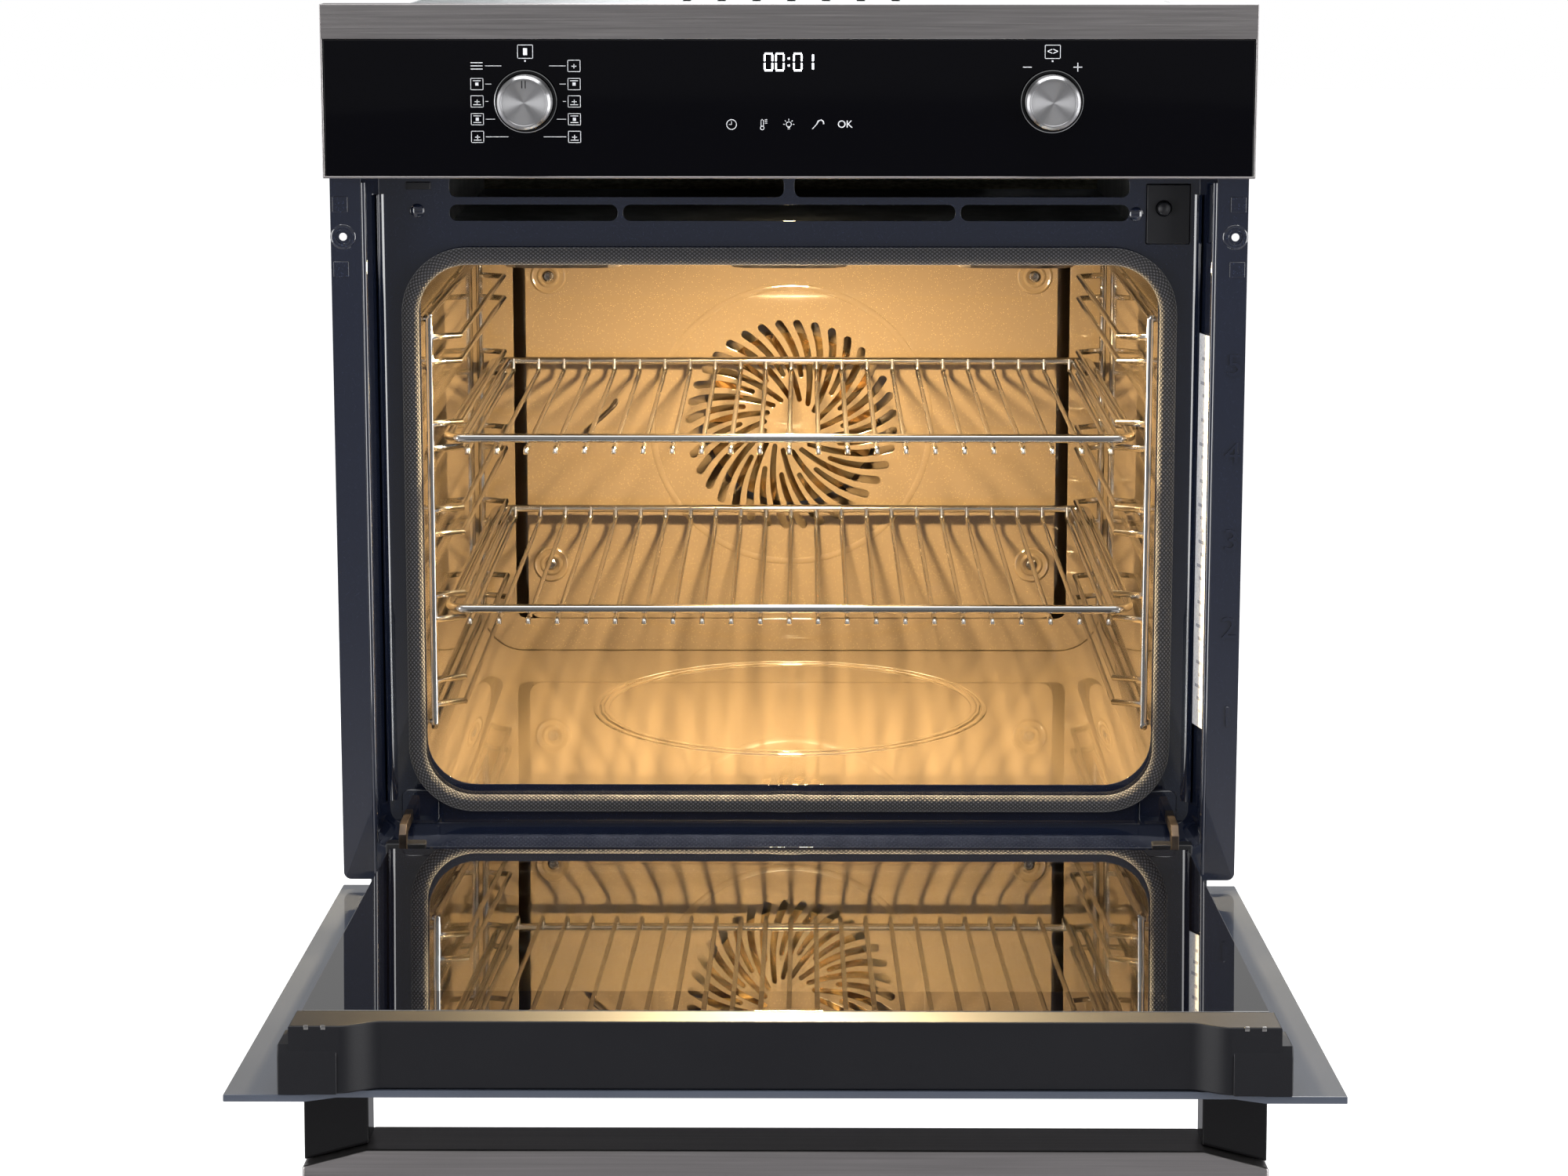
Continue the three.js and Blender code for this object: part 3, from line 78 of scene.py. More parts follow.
def opened(obj):
    """Turns a piece that was modelled on the closed door to where the open door holds it."""
    pivot = Matrix.Translation(Vector(DOOR_HINGE["pos_m"]))
    swing = Matrix.Rotation(-math.radians(DOOR_HINGE["range_deg"][0]), 4, Vector(DOOR_HINGE["axis"]))
    obj.data.transform(pivot @ swing @ pivot.inverted())
    return obj


# ---- Sizes and colours that a user would change ----


class OvenSizes(bpy.types.PropertyGroup):
    """Small sizes of the visible pieces."""

    edge: FloatProperty(
        name="Edge Rounding",
        description="Rounding of pressed and moulded edges",
        default=0.0008,
        unit="LENGTH",
    )
    glass_edge: FloatProperty(
        name="Glass Edge",
        description="Ground chamfer on the edges of the glass",
        default=0.0005,
        unit="LENGTH",
    )
    gasket_stitch: FloatProperty(
        name="Gasket Stitch",
        description="Spacing of the knitted loops along the gasket",
        default=0.0022,
        unit="LENGTH",
    )
    fleck: FloatProperty(
        name="Enamel Fleck",
        description="Spacing of the light flecks in the enamel",
        default=0.0013,
        unit="LENGTH",
    )
    rosette_slots: IntProperty(
        name="Rosette Slots",
        description="Number of curved slots in the fan cover",
        default=36,
    )
    floor_drop: FloatProperty(
        name="Floor Drop",
        description="How far the studio floor lies under the oven",
        default=0.42,
        unit="LENGTH",
    )


class OvenColours(bpy.types.PropertyGroup):
    """Colours that a user would change, as linear values."""

    lamp: FloatVectorProperty(
        name="Lamp",
        description="Colour of the oven lamp's light",
        default=(1.0, 0.75, 0.41),
        subtype="COLOR",
    )
    studio: FloatVectorProperty(
        name="Studio",
        description="Colour of the studio's walls",
        default=(1.0, 1.0, 1.0),
        subtype="COLOR",
    )


# ---- Materials ----


# The sockets of a mix node that mixes colours.
COLOUR_A, COLOUR_B, MIXED_COLOUR = 6, 7, 2


def linear(text):
    """An sRGB hex value as a linear colour."""
    parts = [int(text[i : i + 2], 16) / 255 for i in (1, 3, 5)]
    return [c / 12.92 if c <= 0.04045 else ((c + 0.055) / 1.055) ** 2.4 for c in parts] + [1.0]


def add(tree, kind, links=(), **settings):
    """Adds a node, with its settings, its sockets' values and its links."""
    node = tree.nodes.new(kind)
    sockets = {}
    for key, value in settings.items():
        if key == "sockets":
            sockets = value
        else:
            setattr(node, key, value)
    for key, value in sockets.items():
        node.inputs[key].default_value = value
    for key, output in links:
        tree.links.new(output, node.inputs[key])
    return node


def surface(name, colour, roughness, metallic=0.0, **sockets):
    """A material with one shader, and the node tree, shader and object coordinates to build on."""
    material = bpy.data.materials.new(name)
    material.use_nodes = True
    tree = material.node_tree
    shader = tree.nodes["Principled BSDF"]
    shader.inputs["Base Color"].default_value = linear(colour)
    shader.inputs["Roughness"].default_value = roughness
    shader.inputs["Metallic"].default_value = metallic
    for key, value in sockets.items():
        shader.inputs[key.replace("_", " ")].default_value = value
    coords = add(tree, "ShaderNodeTexCoord").outputs["Object"]
    return material, tree, shader, coords


def stretched(tree, coords, scale):
    """Coordinates multiplied along each axis, so that a pattern runs along one of them."""
    return add(tree, "ShaderNodeMapping", [("Vector", coords)], sockets={"Scale": scale}).outputs[0]


def noise(tree, vector, scale, detail=3.0):
    return add(
        tree, "ShaderNodeTexNoise", [("Vector", vector)], sockets={"Scale": scale, "Detail": detail}
    ).outputs["Fac"]


def ramp(tree, value, stops, constant=False):
    """A colour ramp through (place, sRGB hex) stops."""
    node = add(tree, "ShaderNodeValToRGB", [("Fac", value)])
    node.color_ramp.interpolation = "CONSTANT" if constant else "LINEAR"
    elements = node.color_ramp.elements
    while len(elements) < len(stops):
        elements.new(0.5)
    for element, (place, colour) in zip(elements, stops):
        element.position = place
        element.color = linear(colour)
    return node.outputs["Color"]


def spread(tree, value, low, high):
    """A 0 to 1 value stretched between two others."""
    return add(
        tree,
        "ShaderNodeMapRange",
        [("Value", value)],
        sockets={"To Min": low, "To Max": high},
    ).outputs["Result"]


def bump(tree, shader, height, strength, distance):
    node = add(
        tree,
        "ShaderNodeBump",
        [("Height", height)],
        sockets={"Strength": strength, "Distance": distance},
    )
    tree.links.new(node.outputs["Normal"], shader.inputs["Normal"])


def flecks(tree, coords, spacing, share):
    """A mask of round specks: one in each cell, with only some cells big enough to show."""
    cells = add(tree, "ShaderNodeTexVoronoi", [("Vector", coords)], sockets={"Scale": 1 / spacing})
    size = add(
        tree, "ShaderNodeMath", [(0, cells.outputs["Color"])], operation="MULTIPLY", sockets={1: share}
    )
    return add(
        tree,
        "ShaderNodeMath",
        [(0, cells.outputs["Distance"]), (1, size.outputs[0])],
        operation="LESS_THAN",
    ).outputs[0]


def enamel(name, ground, fleck_colour, share, roughness):
    """Vitreous enamel fired on pressed steel: a glassy coat with flecks and a faint orange peel."""
    material, tree, shader, coords = surface(
        name, ground, roughness, IOR=1.54, Coat_Weight=1.0, Coat_IOR=1.6
    )
    mask = flecks(tree, coords, bpy.context.scene.oven_sizes.fleck, share)
    mix = add(
        tree,
        "ShaderNodeMix",
        [("Factor", mask)],
        data_type="RGBA",
        sockets={COLOUR_A: linear(ground), COLOUR_B: linear(fleck_colour)},
    )
    tree.links.new(mix.outputs[MIXED_COLOUR], shader.inputs["Base Color"])
    peel = noise(tree, coords, 110.0, 2.0)  # about 9 mm from crest to crest
    bump(tree, shader, peel, 0.06, 0.0003)
    return material


def brushed(name, colour, along, roughness=0.3, grain=0.00022):
    """Stainless steel brushed along one axis: hair lines a fifth of a millimetre apart, drawn coarser."""
    material, tree, shader, coords = surface(name, colour, roughness, 1.0)
    scale = [0.012 if axis == along else 1.0 for axis in range(3)]
    lines = noise(tree, stretched(tree, coords, scale), 0.25 / grain, 4.0)
    broad = noise(tree, stretched(tree, coords, scale), 400.0, 2.0)
    tree.links.new(spread(tree, lines, roughness - 0.08, roughness + 0.14), shader.inputs["Roughness"])
    shades = add(tree, "ShaderNodeMath", [(0, lines), (1, broad)], operation="MULTIPLY")
    base = linear(colour)
    colour_ramp = add(tree, "ShaderNodeValToRGB", [("Fac", shades.outputs[0])])
    # From a little darker than the steel's own colour to a little lighter.
    for element, factor, place in zip(colour_ramp.color_ramp.elements, (0.86, 1.1), (0.1, 0.45)):
        element.position = place
        element.color = [c * factor for c in base[:3]] + [base[3]]
    tree.links.new(colour_ramp.outputs["Color"], shader.inputs["Base Color"])
    bump(tree, shader, lines, 0.12, 0.00005)
    return material


def turned_metal(name, colour, node):
    """Aluminium faced on a lathe: fine rings round the axis, which throw two bright fans of light."""
    material, tree, shader, coords = surface(
        name, colour, 0.3, 1.0, Anisotropic=0.9, Anisotropic_Rotation=0.25
    )
    tangent = add(tree, "ShaderNodeTangent", direction_type="RADIAL", axis="Y")
    tree.links.new(tangent.outputs[0], shader.inputs["Tangent"])
    low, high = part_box(node)
    centred = add(
        tree,
        "ShaderNodeMapping",
        [("Vector", coords)],
        sockets={"Location": -(low + high) / 2, "Scale": (1.0, 0.0, 1.0)},
    ).outputs[0]
    rings = add(
        tree,
        "ShaderNodeTexWave",
        [("Vector", centred)],
        wave_type="RINGS",
        rings_direction="SPHERICAL",
        sockets={"Scale": 180.0, "Distortion": 0.4, "Detail": 3.0},
    ).outputs["Fac"]
    tree.links.new(spread(tree, rings, 0.2, 0.36), shader.inputs["Roughness"])
    bump(tree, shader, rings, 0.15, 0.00004)
    return material


def spangled(name):
    """Hot-dip galvanised sheet: zinc crystals of 8 to 15 mm, each a little different in tone."""
    material, tree, shader, coords = surface(name, "#9DA1A4", 0.42, 1.0)
    # 85 cells to the metre: crystals of about 12 mm.
    crystals = add(tree, "ShaderNodeTexVoronoi", [("Vector", coords)], sockets={"Scale": 85.0})
    fine = noise(tree, coords, 400.0, 4.0)
    tone = add(
        tree, "ShaderNodeMath", [(0, crystals.outputs["Color"]), (1, fine)], operation="MULTIPLY_ADD"
    )
    tone.inputs[2].default_value = 0.2
    colour = ramp(tree, tone.outputs[0], [(0.2, "#878B8E"), (0.8, "#B4B8BA")])
    tree.links.new(colour, shader.inputs["Base Color"])
    tree.links.new(spread(tree, tone.outputs[0], 0.34, 0.52), shader.inputs["Roughness"])
    bump(tree, shader, fine, 0.05, 0.0001)
    return material


def plated(name, colour="#C9C7C4"):
    """Bright nickel-chrome on drawn wire: mirror bright, with a slight smear from handling."""
    material, tree, shader, coords = surface(name, colour, 0.1, 1.0)
    smear = noise(tree, coords, 45.0, 4.0)
    tree.links.new(spread(tree, smear, 0.06, 0.2), shader.inputs["Roughness"])
    return material


def moulded(name, colour, roughness, texture=0.3, spacing=0.0009):
    """Injection-moulded plastic: an even spark-eroded grain under a millimetre across."""
    material, tree, shader, coords = surface(name, colour, roughness, IOR=1.49)
    grain = noise(tree, coords, 1 / spacing, 2.0)
    cloud = noise(tree, coords, 25.0, 3.0)
    tree.links.new(spread(tree, cloud, roughness - 0.05, roughness + 0.07), shader.inputs["Roughness"])
    bump(tree, shader, grain, texture, 0.00008)
    return material


def printed_glass(name):
    """Toughened float glass printed black on its back: a deep, flat gloss with faint wiping marks."""
    material, tree, shader, coords = surface(name, "#030306", 0.03, IOR=1.27)
    smear = noise(tree, stretched(tree, coords, (1.0, 1.0, 3.0)), 14.0, 5.0)
    tree.links.new(spread(tree, smear, 0.015, 0.06), shader.inputs["Roughness"])
    return material


def plain_finishes():
    """The finishes that need nothing but their own constants, by their slots in the record."""
    return {
        "enamel": enamel("vitreous_enamel_navy", "#151A29", "#2C3650", 0.3, 0.06),
        "galvanised": spangled("galvanised_steel"),
        "brushed_steel": brushed("stainless_steel_brushed", "#B4B0B0", 0),
        "screw_steel": plated("stainless_steel_screw", "#9A9896"),
        "chrome": plated("chrome_plated_wire"),
        "black_glass": printed_glass("float_glass_black_print"),
        "black_plastic": moulded("polyamide_black", "#16171C", 0.42),
        "gloss_plastic": moulded("abs_gloss_black", "#030305", 0.1, 0.03),
    }


def cavity_enamel():
    """Pyrolytic enamel inside the cavity, dark and dusted with pale flecks, with the ground and flecks tinted
    amber and gold by painted lamp light.
    """
    # The amber ground and gold flecks are painted lamp light on a dark enamel with pale flecks.
    return enamel("vitreous_enamel_cavity", "#5A4D3C", "#94835F", 0.16, 0.08)


def knitted(name):
    """Knitted glass-fibre sleeve: rows of loops that show as a fine chevron along the hose, with painted
    shade in the hollows between the loops.
    """
    material, tree, shader, _ = surface(name, "#6B6B70", 0.85, Sheen_Weight=0.3)
    uv = add(tree, "ShaderNodeUVMap", uv_map="sweep").outputs["UV"]
    stitch = bpy.context.scene.oven_sizes.gasket_stitch
    scale = 1 / stitch
    vector = stretched(tree, uv, (scale, scale * 1.2, 1.0))
    slanted = []
    for lean in (0.8, -0.8):
        turned = add(
            tree, "ShaderNodeMapping", [("Vector", vector)], sockets={"Rotation": (0, 0, lean)}
        ).outputs[0]
        wave = add(
            tree, "ShaderNodeTexWave", [("Vector", turned)], sockets={"Scale": 0.32, "Distortion": 0.6}
        )
        slanted.append(wave.outputs["Fac"])
    loops = add(tree, "ShaderNodeMath", [(0, slanted[0]), (1, slanted[1])], operation="MULTIPLY")
    # Where the loops dip, the yarn's grey darkens to near black: painted shade in the knit's hollows.
    tree.links.new(
        ramp(tree, loops.outputs[0], [(0.05, "#0E0E11"), (0.6, "#4C4B50")]),
        shader.inputs["Base Color"],
    )
    bump(tree, shader, loops.outputs[0], 0.8, 0.0006)
    return material


def fibrous(name):
    """Mineral wool: pale matted fibres a few millimetres long."""
    material, tree, shader, coords = surface(name, "#CFC7B0", 0.95)
    fibres = noise(tree, stretched(tree, coords, (1.0, 0.3, 1.0)), 220.0, 6.0)
    tree.links.new(
        ramp(tree, fibres, [(0.3, "#A89F86"), (0.7, "#E2DCC8")]), shader.inputs["Base Color"]
    )
    bump(tree, shader, fibres, 0.8, 0.001)
    return material


def sheathed(name):
    """Incoloy heater sheath, oxidised brown-black with a worn sheen."""
    material, tree, shader, coords = surface(name, "#3B3530", 0.45, 0.9)
    patches = noise(tree, coords, 60.0, 5.0)
    tree.links.new(
        ramp(tree, patches, [(0.3, "#2B2623"), (0.7, "#5A5048")]), shader.inputs["Base Color"]
    )
    tree.links.new(spread(tree, patches, 0.35, 0.6), shader.inputs["Roughness"])
    return material


def lacquered(name):
    """Motor laminations under clear lacquer: thin plates stacked a half millimetre thick."""
    material, tree, shader, coords = surface(name, "#5C6063", 0.4, 0.8)
    plates = add(
        tree,
        "ShaderNodeTexWave",
        [("Vector", coords)],
        bands_direction="Y",
        sockets={"Scale": 320.0, "Distortion": 0.0},
    )
    bump(tree, shader, plates.outputs["Fac"], 0.4, 0.0002)
    tree.links.new(
        ramp(tree, plates.outputs["Fac"], [(0.2, "#4A4D50"), (0.8, "#76797B")]),
        shader.inputs["Base Color"],
    )
    return material


def circuit_board(name):
    """Glass-epoxy board under green solder mask with copper tracks as paler bands."""
    material, tree, shader, coords = surface(name, "#12492A", 0.35, IOR=1.5)
    tracks = add(
        tree,
        "ShaderNodeTexBrick",
        [("Vector", coords)],
        sockets={"Scale": 120.0, "Mortar Size": 0.03},
    )
    tree.links.new(
        ramp(tree, tracks.outputs["Fac"], [(0.0, "#0F3F24"), (1.0, "#1F6B3D")]),
        shader.inputs["Base Color"],
    )
    return material


def glowing(name, colour, strength):
    """A lit surface: a capsule or display segments that give off their own light."""
    material, tree, shader, coords = surface(name, colour, 0.4)
    shader.inputs["Emission Color"].default_value = linear(colour)
    shader.inputs["Emission Strength"].default_value = strength
    flicker = noise(tree, coords, 300.0, 1.0)
    tree.links.new(spread(tree, flicker, 0.35, 0.5), shader.inputs["Roughness"])
    return material


def screen_print(name, colour):
    """Ceramic ink printed on glass: matt, very slightly uneven in cover."""
    material, tree, shader, coords = surface(name, colour, 0.55)
    cover = noise(tree, coords, 700.0, 2.0)
    tree.links.new(ramp(tree, cover, [(0.2, "#B9BCC4"), (0.6, colour)]), shader.inputs["Base Color"])
    return material


def door_pane(name, border):
    """Clear low-emissivity glass: its metal-oxide coat mirrors the lit cavity at a low angle."""
    material, tree, shader, coords = surface(
        name,
        "#EEF3F4",
        0.0,
        IOR=1.52,
        Transmission_Weight=1.0,
        Coat_Weight=1.0,
        Coat_IOR=2.0,
        Coat_Roughness=0.0,
    )
    if border is None:
        smear = noise(tree, coords, 12.0, 4.0)
        tree.links.new(spread(tree, smear, 0.0, 0.02), shader.inputs["Roughness"])
        return material
    # The printed frame is what lies outside a window given by its middle and half sizes.
    middle, half_x, half_y = border
    place = add(
        tree, "ShaderNodeVectorMath", [(0, coords)], operation="SUBTRACT", sockets={1: middle}
    ).outputs[0]
    size = add(tree, "ShaderNodeVectorMath", [(0, place)], operation="ABSOLUTE").outputs[0]
    parts = add(tree, "ShaderNodeSeparateXYZ", [("Vector", size)])
    masks = [
        add(tree, "ShaderNodeMath", [(0, parts.outputs[i])], operation="LESS_THAN", sockets={1: half})
        for i, half in ((0, half_x), (1, half_y))
    ]
    window = add(
        tree,
        "ShaderNodeMath",
        [(0, masks[0].outputs[0]), (1, masks[1].outputs[0])],
        operation="MULTIPLY",
    ).outputs[0]
    tree.links.new(window, shader.inputs["Transmission Weight"])
    tree.links.new(
        ramp(tree, window, [(0.0, "#07070B"), (1.0, "#EEF3F4")]), shader.inputs["Base Color"]
    )
    return material


def grey_pane(name):
    """Float glass with a painted reflection on its inner face: a grey that stands for the pale room the face
    mirrors at a low angle, under a coat that also mirrors it.
    """
    # The grey ground and its cloudy tones are a painted reflection of the pale studio in the glass.
    material, tree, shader, coords = surface(name, "#474D59", 0.16, IOR=1.52, Coat_Weight=1.0)
    cloud = noise(tree, coords, 9.0, 3.0)
    tree.links.new(
        ramp(tree, cloud, [(0.3, "#454B57"), (0.7, "#4F5562")]), shader.inputs["Base Color"]
    )
    return material


finishes = {}  # every finish by its slot in the record, and the special ones by their own names


def wear(obj, slot, finish=None):
    """Gives a piece the finish of a record slot, or a named finish of its own in that slot."""
    obj.data.materials.clear()
    obj.data.materials.append(finishes[finish or slot])


# ---- Modelling helpers ----


def placed(name, data):
    """A new object with that data, in the scene."""
    obj = bpy.data.objects.new(name, data)
    bpy.context.scene.collection.objects.link(obj)
    return obj


def deselect():
    if bpy.context.object and bpy.context.object.mode != "OBJECT":
        bpy.ops.object.mode_set(mode="OBJECT")
    bpy.ops.object.select_all(action="DESELECT")


def pick(obj):
    deselect()
    obj.select_set(True)
    bpy.context.view_layer.objects.active = obj


def modify(obj, kind, **settings):
    """Adds a modifier and applies it."""
    pick(obj)
    modifier = obj.modifiers.new(kind.lower(), kind)
    for key, value in settings.items():
        setattr(modifier, key, value)
    bpy.ops.object.modifier_apply(modifier=modifier.name)


def settle(obj, move=None, turn=None):
    """Places an object and moves its place into its mesh."""
    if turn:
        obj.rotation_euler = turn
    if move is not None:
        obj.location = move
    pick(obj)
    bpy.ops.object.transform_apply(location=True, rotation=True, scale=True)


def smooth(obj, degrees=32):
    pick(obj)
    bpy.ops.object.shade_smooth_by_angle(angle=math.radians(degrees))


def tidy(obj):
    """Merges doubles and points every face outwards."""
    pick(obj)
    bpy.ops.object.mode_set(mode="EDIT")
    bpy.ops.mesh.select_all(action="SELECT")
    bpy.ops.mesh.remove_doubles(threshold=0.000005)
    bpy.ops.mesh.normals_make_consistent(inside=False)
    bpy.ops.object.mode_set(mode="OBJECT")


def done(obj, body, slot, finish=None, instead=(), degrees=32):
    """Shades a finished piece, gives it its finish and its body, and hides what it stands for."""
    smooth(obj, degrees)
    modify(obj, "WEIGHTED_NORMAL", keep_sharp=True)
    wear(obj, slot, finish)
    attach(obj, body)
    if instead:
        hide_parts(*instead)
    return obj


def refined(node, width, segments=3, angle=35):
    """A copy of a CAD node with its flat faces merged and its edges rounded."""
    copy = placed(node + "_fine", frame["nodes"][node].data.copy())
    pick(copy)
    bpy.ops.object.mode_set(mode="EDIT")
    bpy.ops.mesh.select_all(action="SELECT")
    bpy.ops.mesh.remove_doubles(threshold=0.000005)
    bpy.ops.mesh.dissolve_limited(angle_limit=math.radians(0.6))
    bpy.ops.object.mode_set(mode="OBJECT")
    modify(
        copy,
        "BEVEL",
        width=width,
        segments=segments,
        limit_method="ANGLE",
        angle_limit=math.radians(angle),
    )
    return copy


def refit(node, name, width, body, slot, finish=None, segments=3, angle=35):
    """Puts the rounded copy of a CAD node, under its own name, in that node's place."""
    piece = refined(node, width, segments, angle)
    piece.name = name
    return done(piece, body, slot, finish, [node])


def block(name, x, y, z, edge=0.0, segments=3):
    """A block between two values along each axis, in millimetres, with rounded edges."""
    deselect()
    low, high = at(x[0], y[0], z[0]), at(x[1], y[1], z[1])
    bpy.ops.mesh.primitive_cube_add(size=1.0, location=(low + high) / 2)
    obj = bpy.context.object
    obj.name = name
    obj.scale = high - low
    settle(obj)
    if edge:
        modify(obj, "BEVEL", width=edge * MM, segments=segments, limit_method="NONE")
    return obj


TURNS = {
    "x": (math.pi / 2, 0, math.pi / 2),
    "y": (math.pi / 2, 0, 0),
    "z": (0, 0, 0),
}


def sheet(name, outlines, axis, low, high, edge=0.0, segments=2):
    """Flat outlines in millimetres, pushed along an axis. Outlines inside the first one are holes.

    Across x an outline is (y, z), across y it is (x, z), and across z it is (x, y).
    """
    curve = bpy.data.curves.new(name, "CURVE")
    curve.dimensions = "2D"
    curve.fill_mode = "BOTH"
    curve.extrude = (high - low) / 2 * MM - edge * MM
    curve.bevel_depth = edge * MM
    curve.bevel_resolution = segments
    curve.offset = -edge * MM
    for outline in outlines:
        spline = curve.splines.new("POLY")
        spline.points.add(len(outline) - 1)
        for point, (a, b) in zip(spline.points, outline):
            point.co = (a * MM, b * MM, 0, 1)
        spline.use_cyclic_u = True
    obj = placed(name, curve)
    pick(obj)
    bpy.ops.object.convert(target="MESH")
    obj = bpy.context.object
    middle = (low + high) / 2
    places = {"x": at(middle, 0, 0), "y": at(0, middle, 0), "z": at(0, 0, middle)}
    settle(obj, places[axis], TURNS[axis])
    tidy(obj)
    return obj


def tube(name, paths, radius, sides=10, cyclic=False):
    """Round wire along paths of points in millimetres, with closed ends."""
    curve = bpy.data.curves.new(name, "CURVE")
    curve.dimensions = "3D"
    curve.bevel_depth = radius * MM
    curve.bevel_resolution = max(0, sides // 4 - 1)
    curve.use_fill_caps = True
    for path in paths:
        spline = curve.splines.new("POLY")
        spline.points.add(len(path) - 1)
        for point, place in zip(spline.points, path):
            point.co = (*at(*place), 1)
        spline.use_cyclic_u = cyclic
    obj = placed(name, curve)
    pick(obj)
    bpy.ops.object.convert(target="MESH")
    obj = bpy.context.object
    tidy(obj)
    return obj


def rounded(points, radius, steps=5):
    """A path with each inner corner turned through an arc of about that radius."""
    path = [Vector(points[0])]
    for before, corner, after in zip(points, points[1:], points[2:]):
        corner = Vector(corner)
        into = Vector(before) - corner
        out = Vector(after) - corner
        reach = min(radius, into.length * 0.49, out.length * 0.49)
        start = corner + into.normalized() * reach
        end = corner + out.normalized() * reach
        for i in range(steps + 1):
            t = i / steps
            path.append(start * (1 - t) ** 2 + corner * 2 * t * (1 - t) + end * t**2)
    path.append(Vector(points[-1]))
    return [tuple(point) for point in path]


def joined(name, objects):
    """Several pieces of one thing as one object."""
    deselect()
    for obj in objects:
        obj.select_set(True)
    bpy.context.view_layer.objects.active = objects[0]
    if len(objects) > 1:
        bpy.ops.object.join()
    objects[0].name = name
    return objects[0]


def spun(name, profile, x, z, steps=96):
    """A turned piece round an axis along y, from (radius, depth) points in millimetres."""
    mesh = bpy.data.meshes.new(name)
    points = [at(x + radius, depth, z) for radius, depth in profile]
    mesh.from_pydata(points, [(i, i + 1) for i in range(len(points) - 1)], [])
    obj = placed(name, mesh)
    pick(obj)
    bpy.ops.object.mode_set(mode="EDIT")
    bpy.ops.mesh.select_all(action="SELECT")
    bpy.ops.mesh.spin(
        steps=steps, angle=2 * math.pi, center=at(x, 0, z), axis=(0, 1, 0), use_auto_merge=True
    )
    bpy.ops.object.mode_set(mode="OBJECT")
    tidy(obj)
    return obj


def swept(name, path, section):
    """A section carried round a closed path in the x-z plane, with its length and girth as the sweep UV.

    The section is (outwards, back) in millimetres, and the path is (x, depth, z).
    """
    count, around = len(path), len(section)
    mesh = bpy.data.meshes.new(name)
    points, faces, uvs = [], [], []
    run = [0.0]
    for i in range(count):
        here, after = Vector(path[i]), Vector(path[(i + 1) % count])
        run.append(run[-1] + (after - here).length)
        before = Vector(path[i - 1])
        along = (after - before).normalized()
        outward = Vector((along.z, 0, -along.x)).normalized()
        for out, back in section:
            spot = here + outward * out
            points.append(at(spot.x, spot.y + back, spot.z))
    girth = [0.0]
    for j in range(around):
        girth.append(girth[-1] + (Vector(section[(j + 1) % around]) - Vector(section[j])).length)
    for i in range(count):
        for j in range(around):
            k, m = (i + 1) % count, (j + 1) % around
            faces.append((i * around + j, k * around + j, k * around + m, i * around + m))
            uvs += [
                (run[i], girth[j]),
                (run[i + 1], girth[j]),
                (run[i + 1], girth[j + 1]),
                (run[i], girth[j + 1]),
            ]
    mesh.from_pydata(points, [], faces)
    layer = mesh.uv_layers.new(name="sweep")
    for loop, (u, v) in zip(layer.data, uvs):
        loop.uv = (u * MM, v * MM)
    obj = placed(name, mesh)
    pick(obj)
    bpy.ops.object.mode_set(mode="EDIT")
    bpy.ops.mesh.select_all(action="SELECT")
    bpy.ops.mesh.normals_make_consistent(inside=False)
    bpy.ops.object.mode_set(mode="OBJECT")
    return obj


def round_rect(half, low, high, radius, steps=12, centre=0.0):
    """A rectangle with round corners as (across, up) points, anticlockwise from the lower right."""
    points = []
    corners = (
        (half - radius, low + radius, -90),
        (half - radius, high - radius, 0),
        (radius - half, high - radius, 90),
        (radius - half, low + radius, 180),
    )
    for across, up, start in corners:
        for i in range(steps + 1):
            angle = math.radians(start + 90 * i / steps)
            points.append(
                (centre + across + radius * math.cos(angle), up + radius * math.sin(angle))
            )
    return points


def circle(x, z, radius, steps=48):
    return [
        (x + radius * math.cos(2 * math.pi * i / steps), z + radius * math.sin(2 * math.pi * i / steps))
        for i in range(steps)
    ]


def lettering(name, text, x, z, y, height, slot, body, wide, thickness):
    """Characters that stand on a face turned to the front, centred on x and z."""
    curve = bpy.data.curves.new(name, "FONT")
    curve.body = text
    curve.size = height / 0.7 * MM  # capitals stand seven tenths of a font's size
    curve.align_x = "CENTER"
    curve.align_y = "CENTER"
    curve.extrude = thickness / 2 * MM
    obj = placed(name, curve)
    obj.scale = (wide, 1, 1)
    pick(obj)
    bpy.ops.object.convert(target="MESH")
    obj = bpy.context.object
    settle(obj, at(x, y, z), TURNS["y"])
    tidy(obj)
    return done(obj, body, slot)


SIDES = (("left", -1), ("right", 1))


class OvenOperator:
    """What every piece's operator shares."""

    bl_options = {"REGISTER", "UNDO"}


# ---- Studio ----


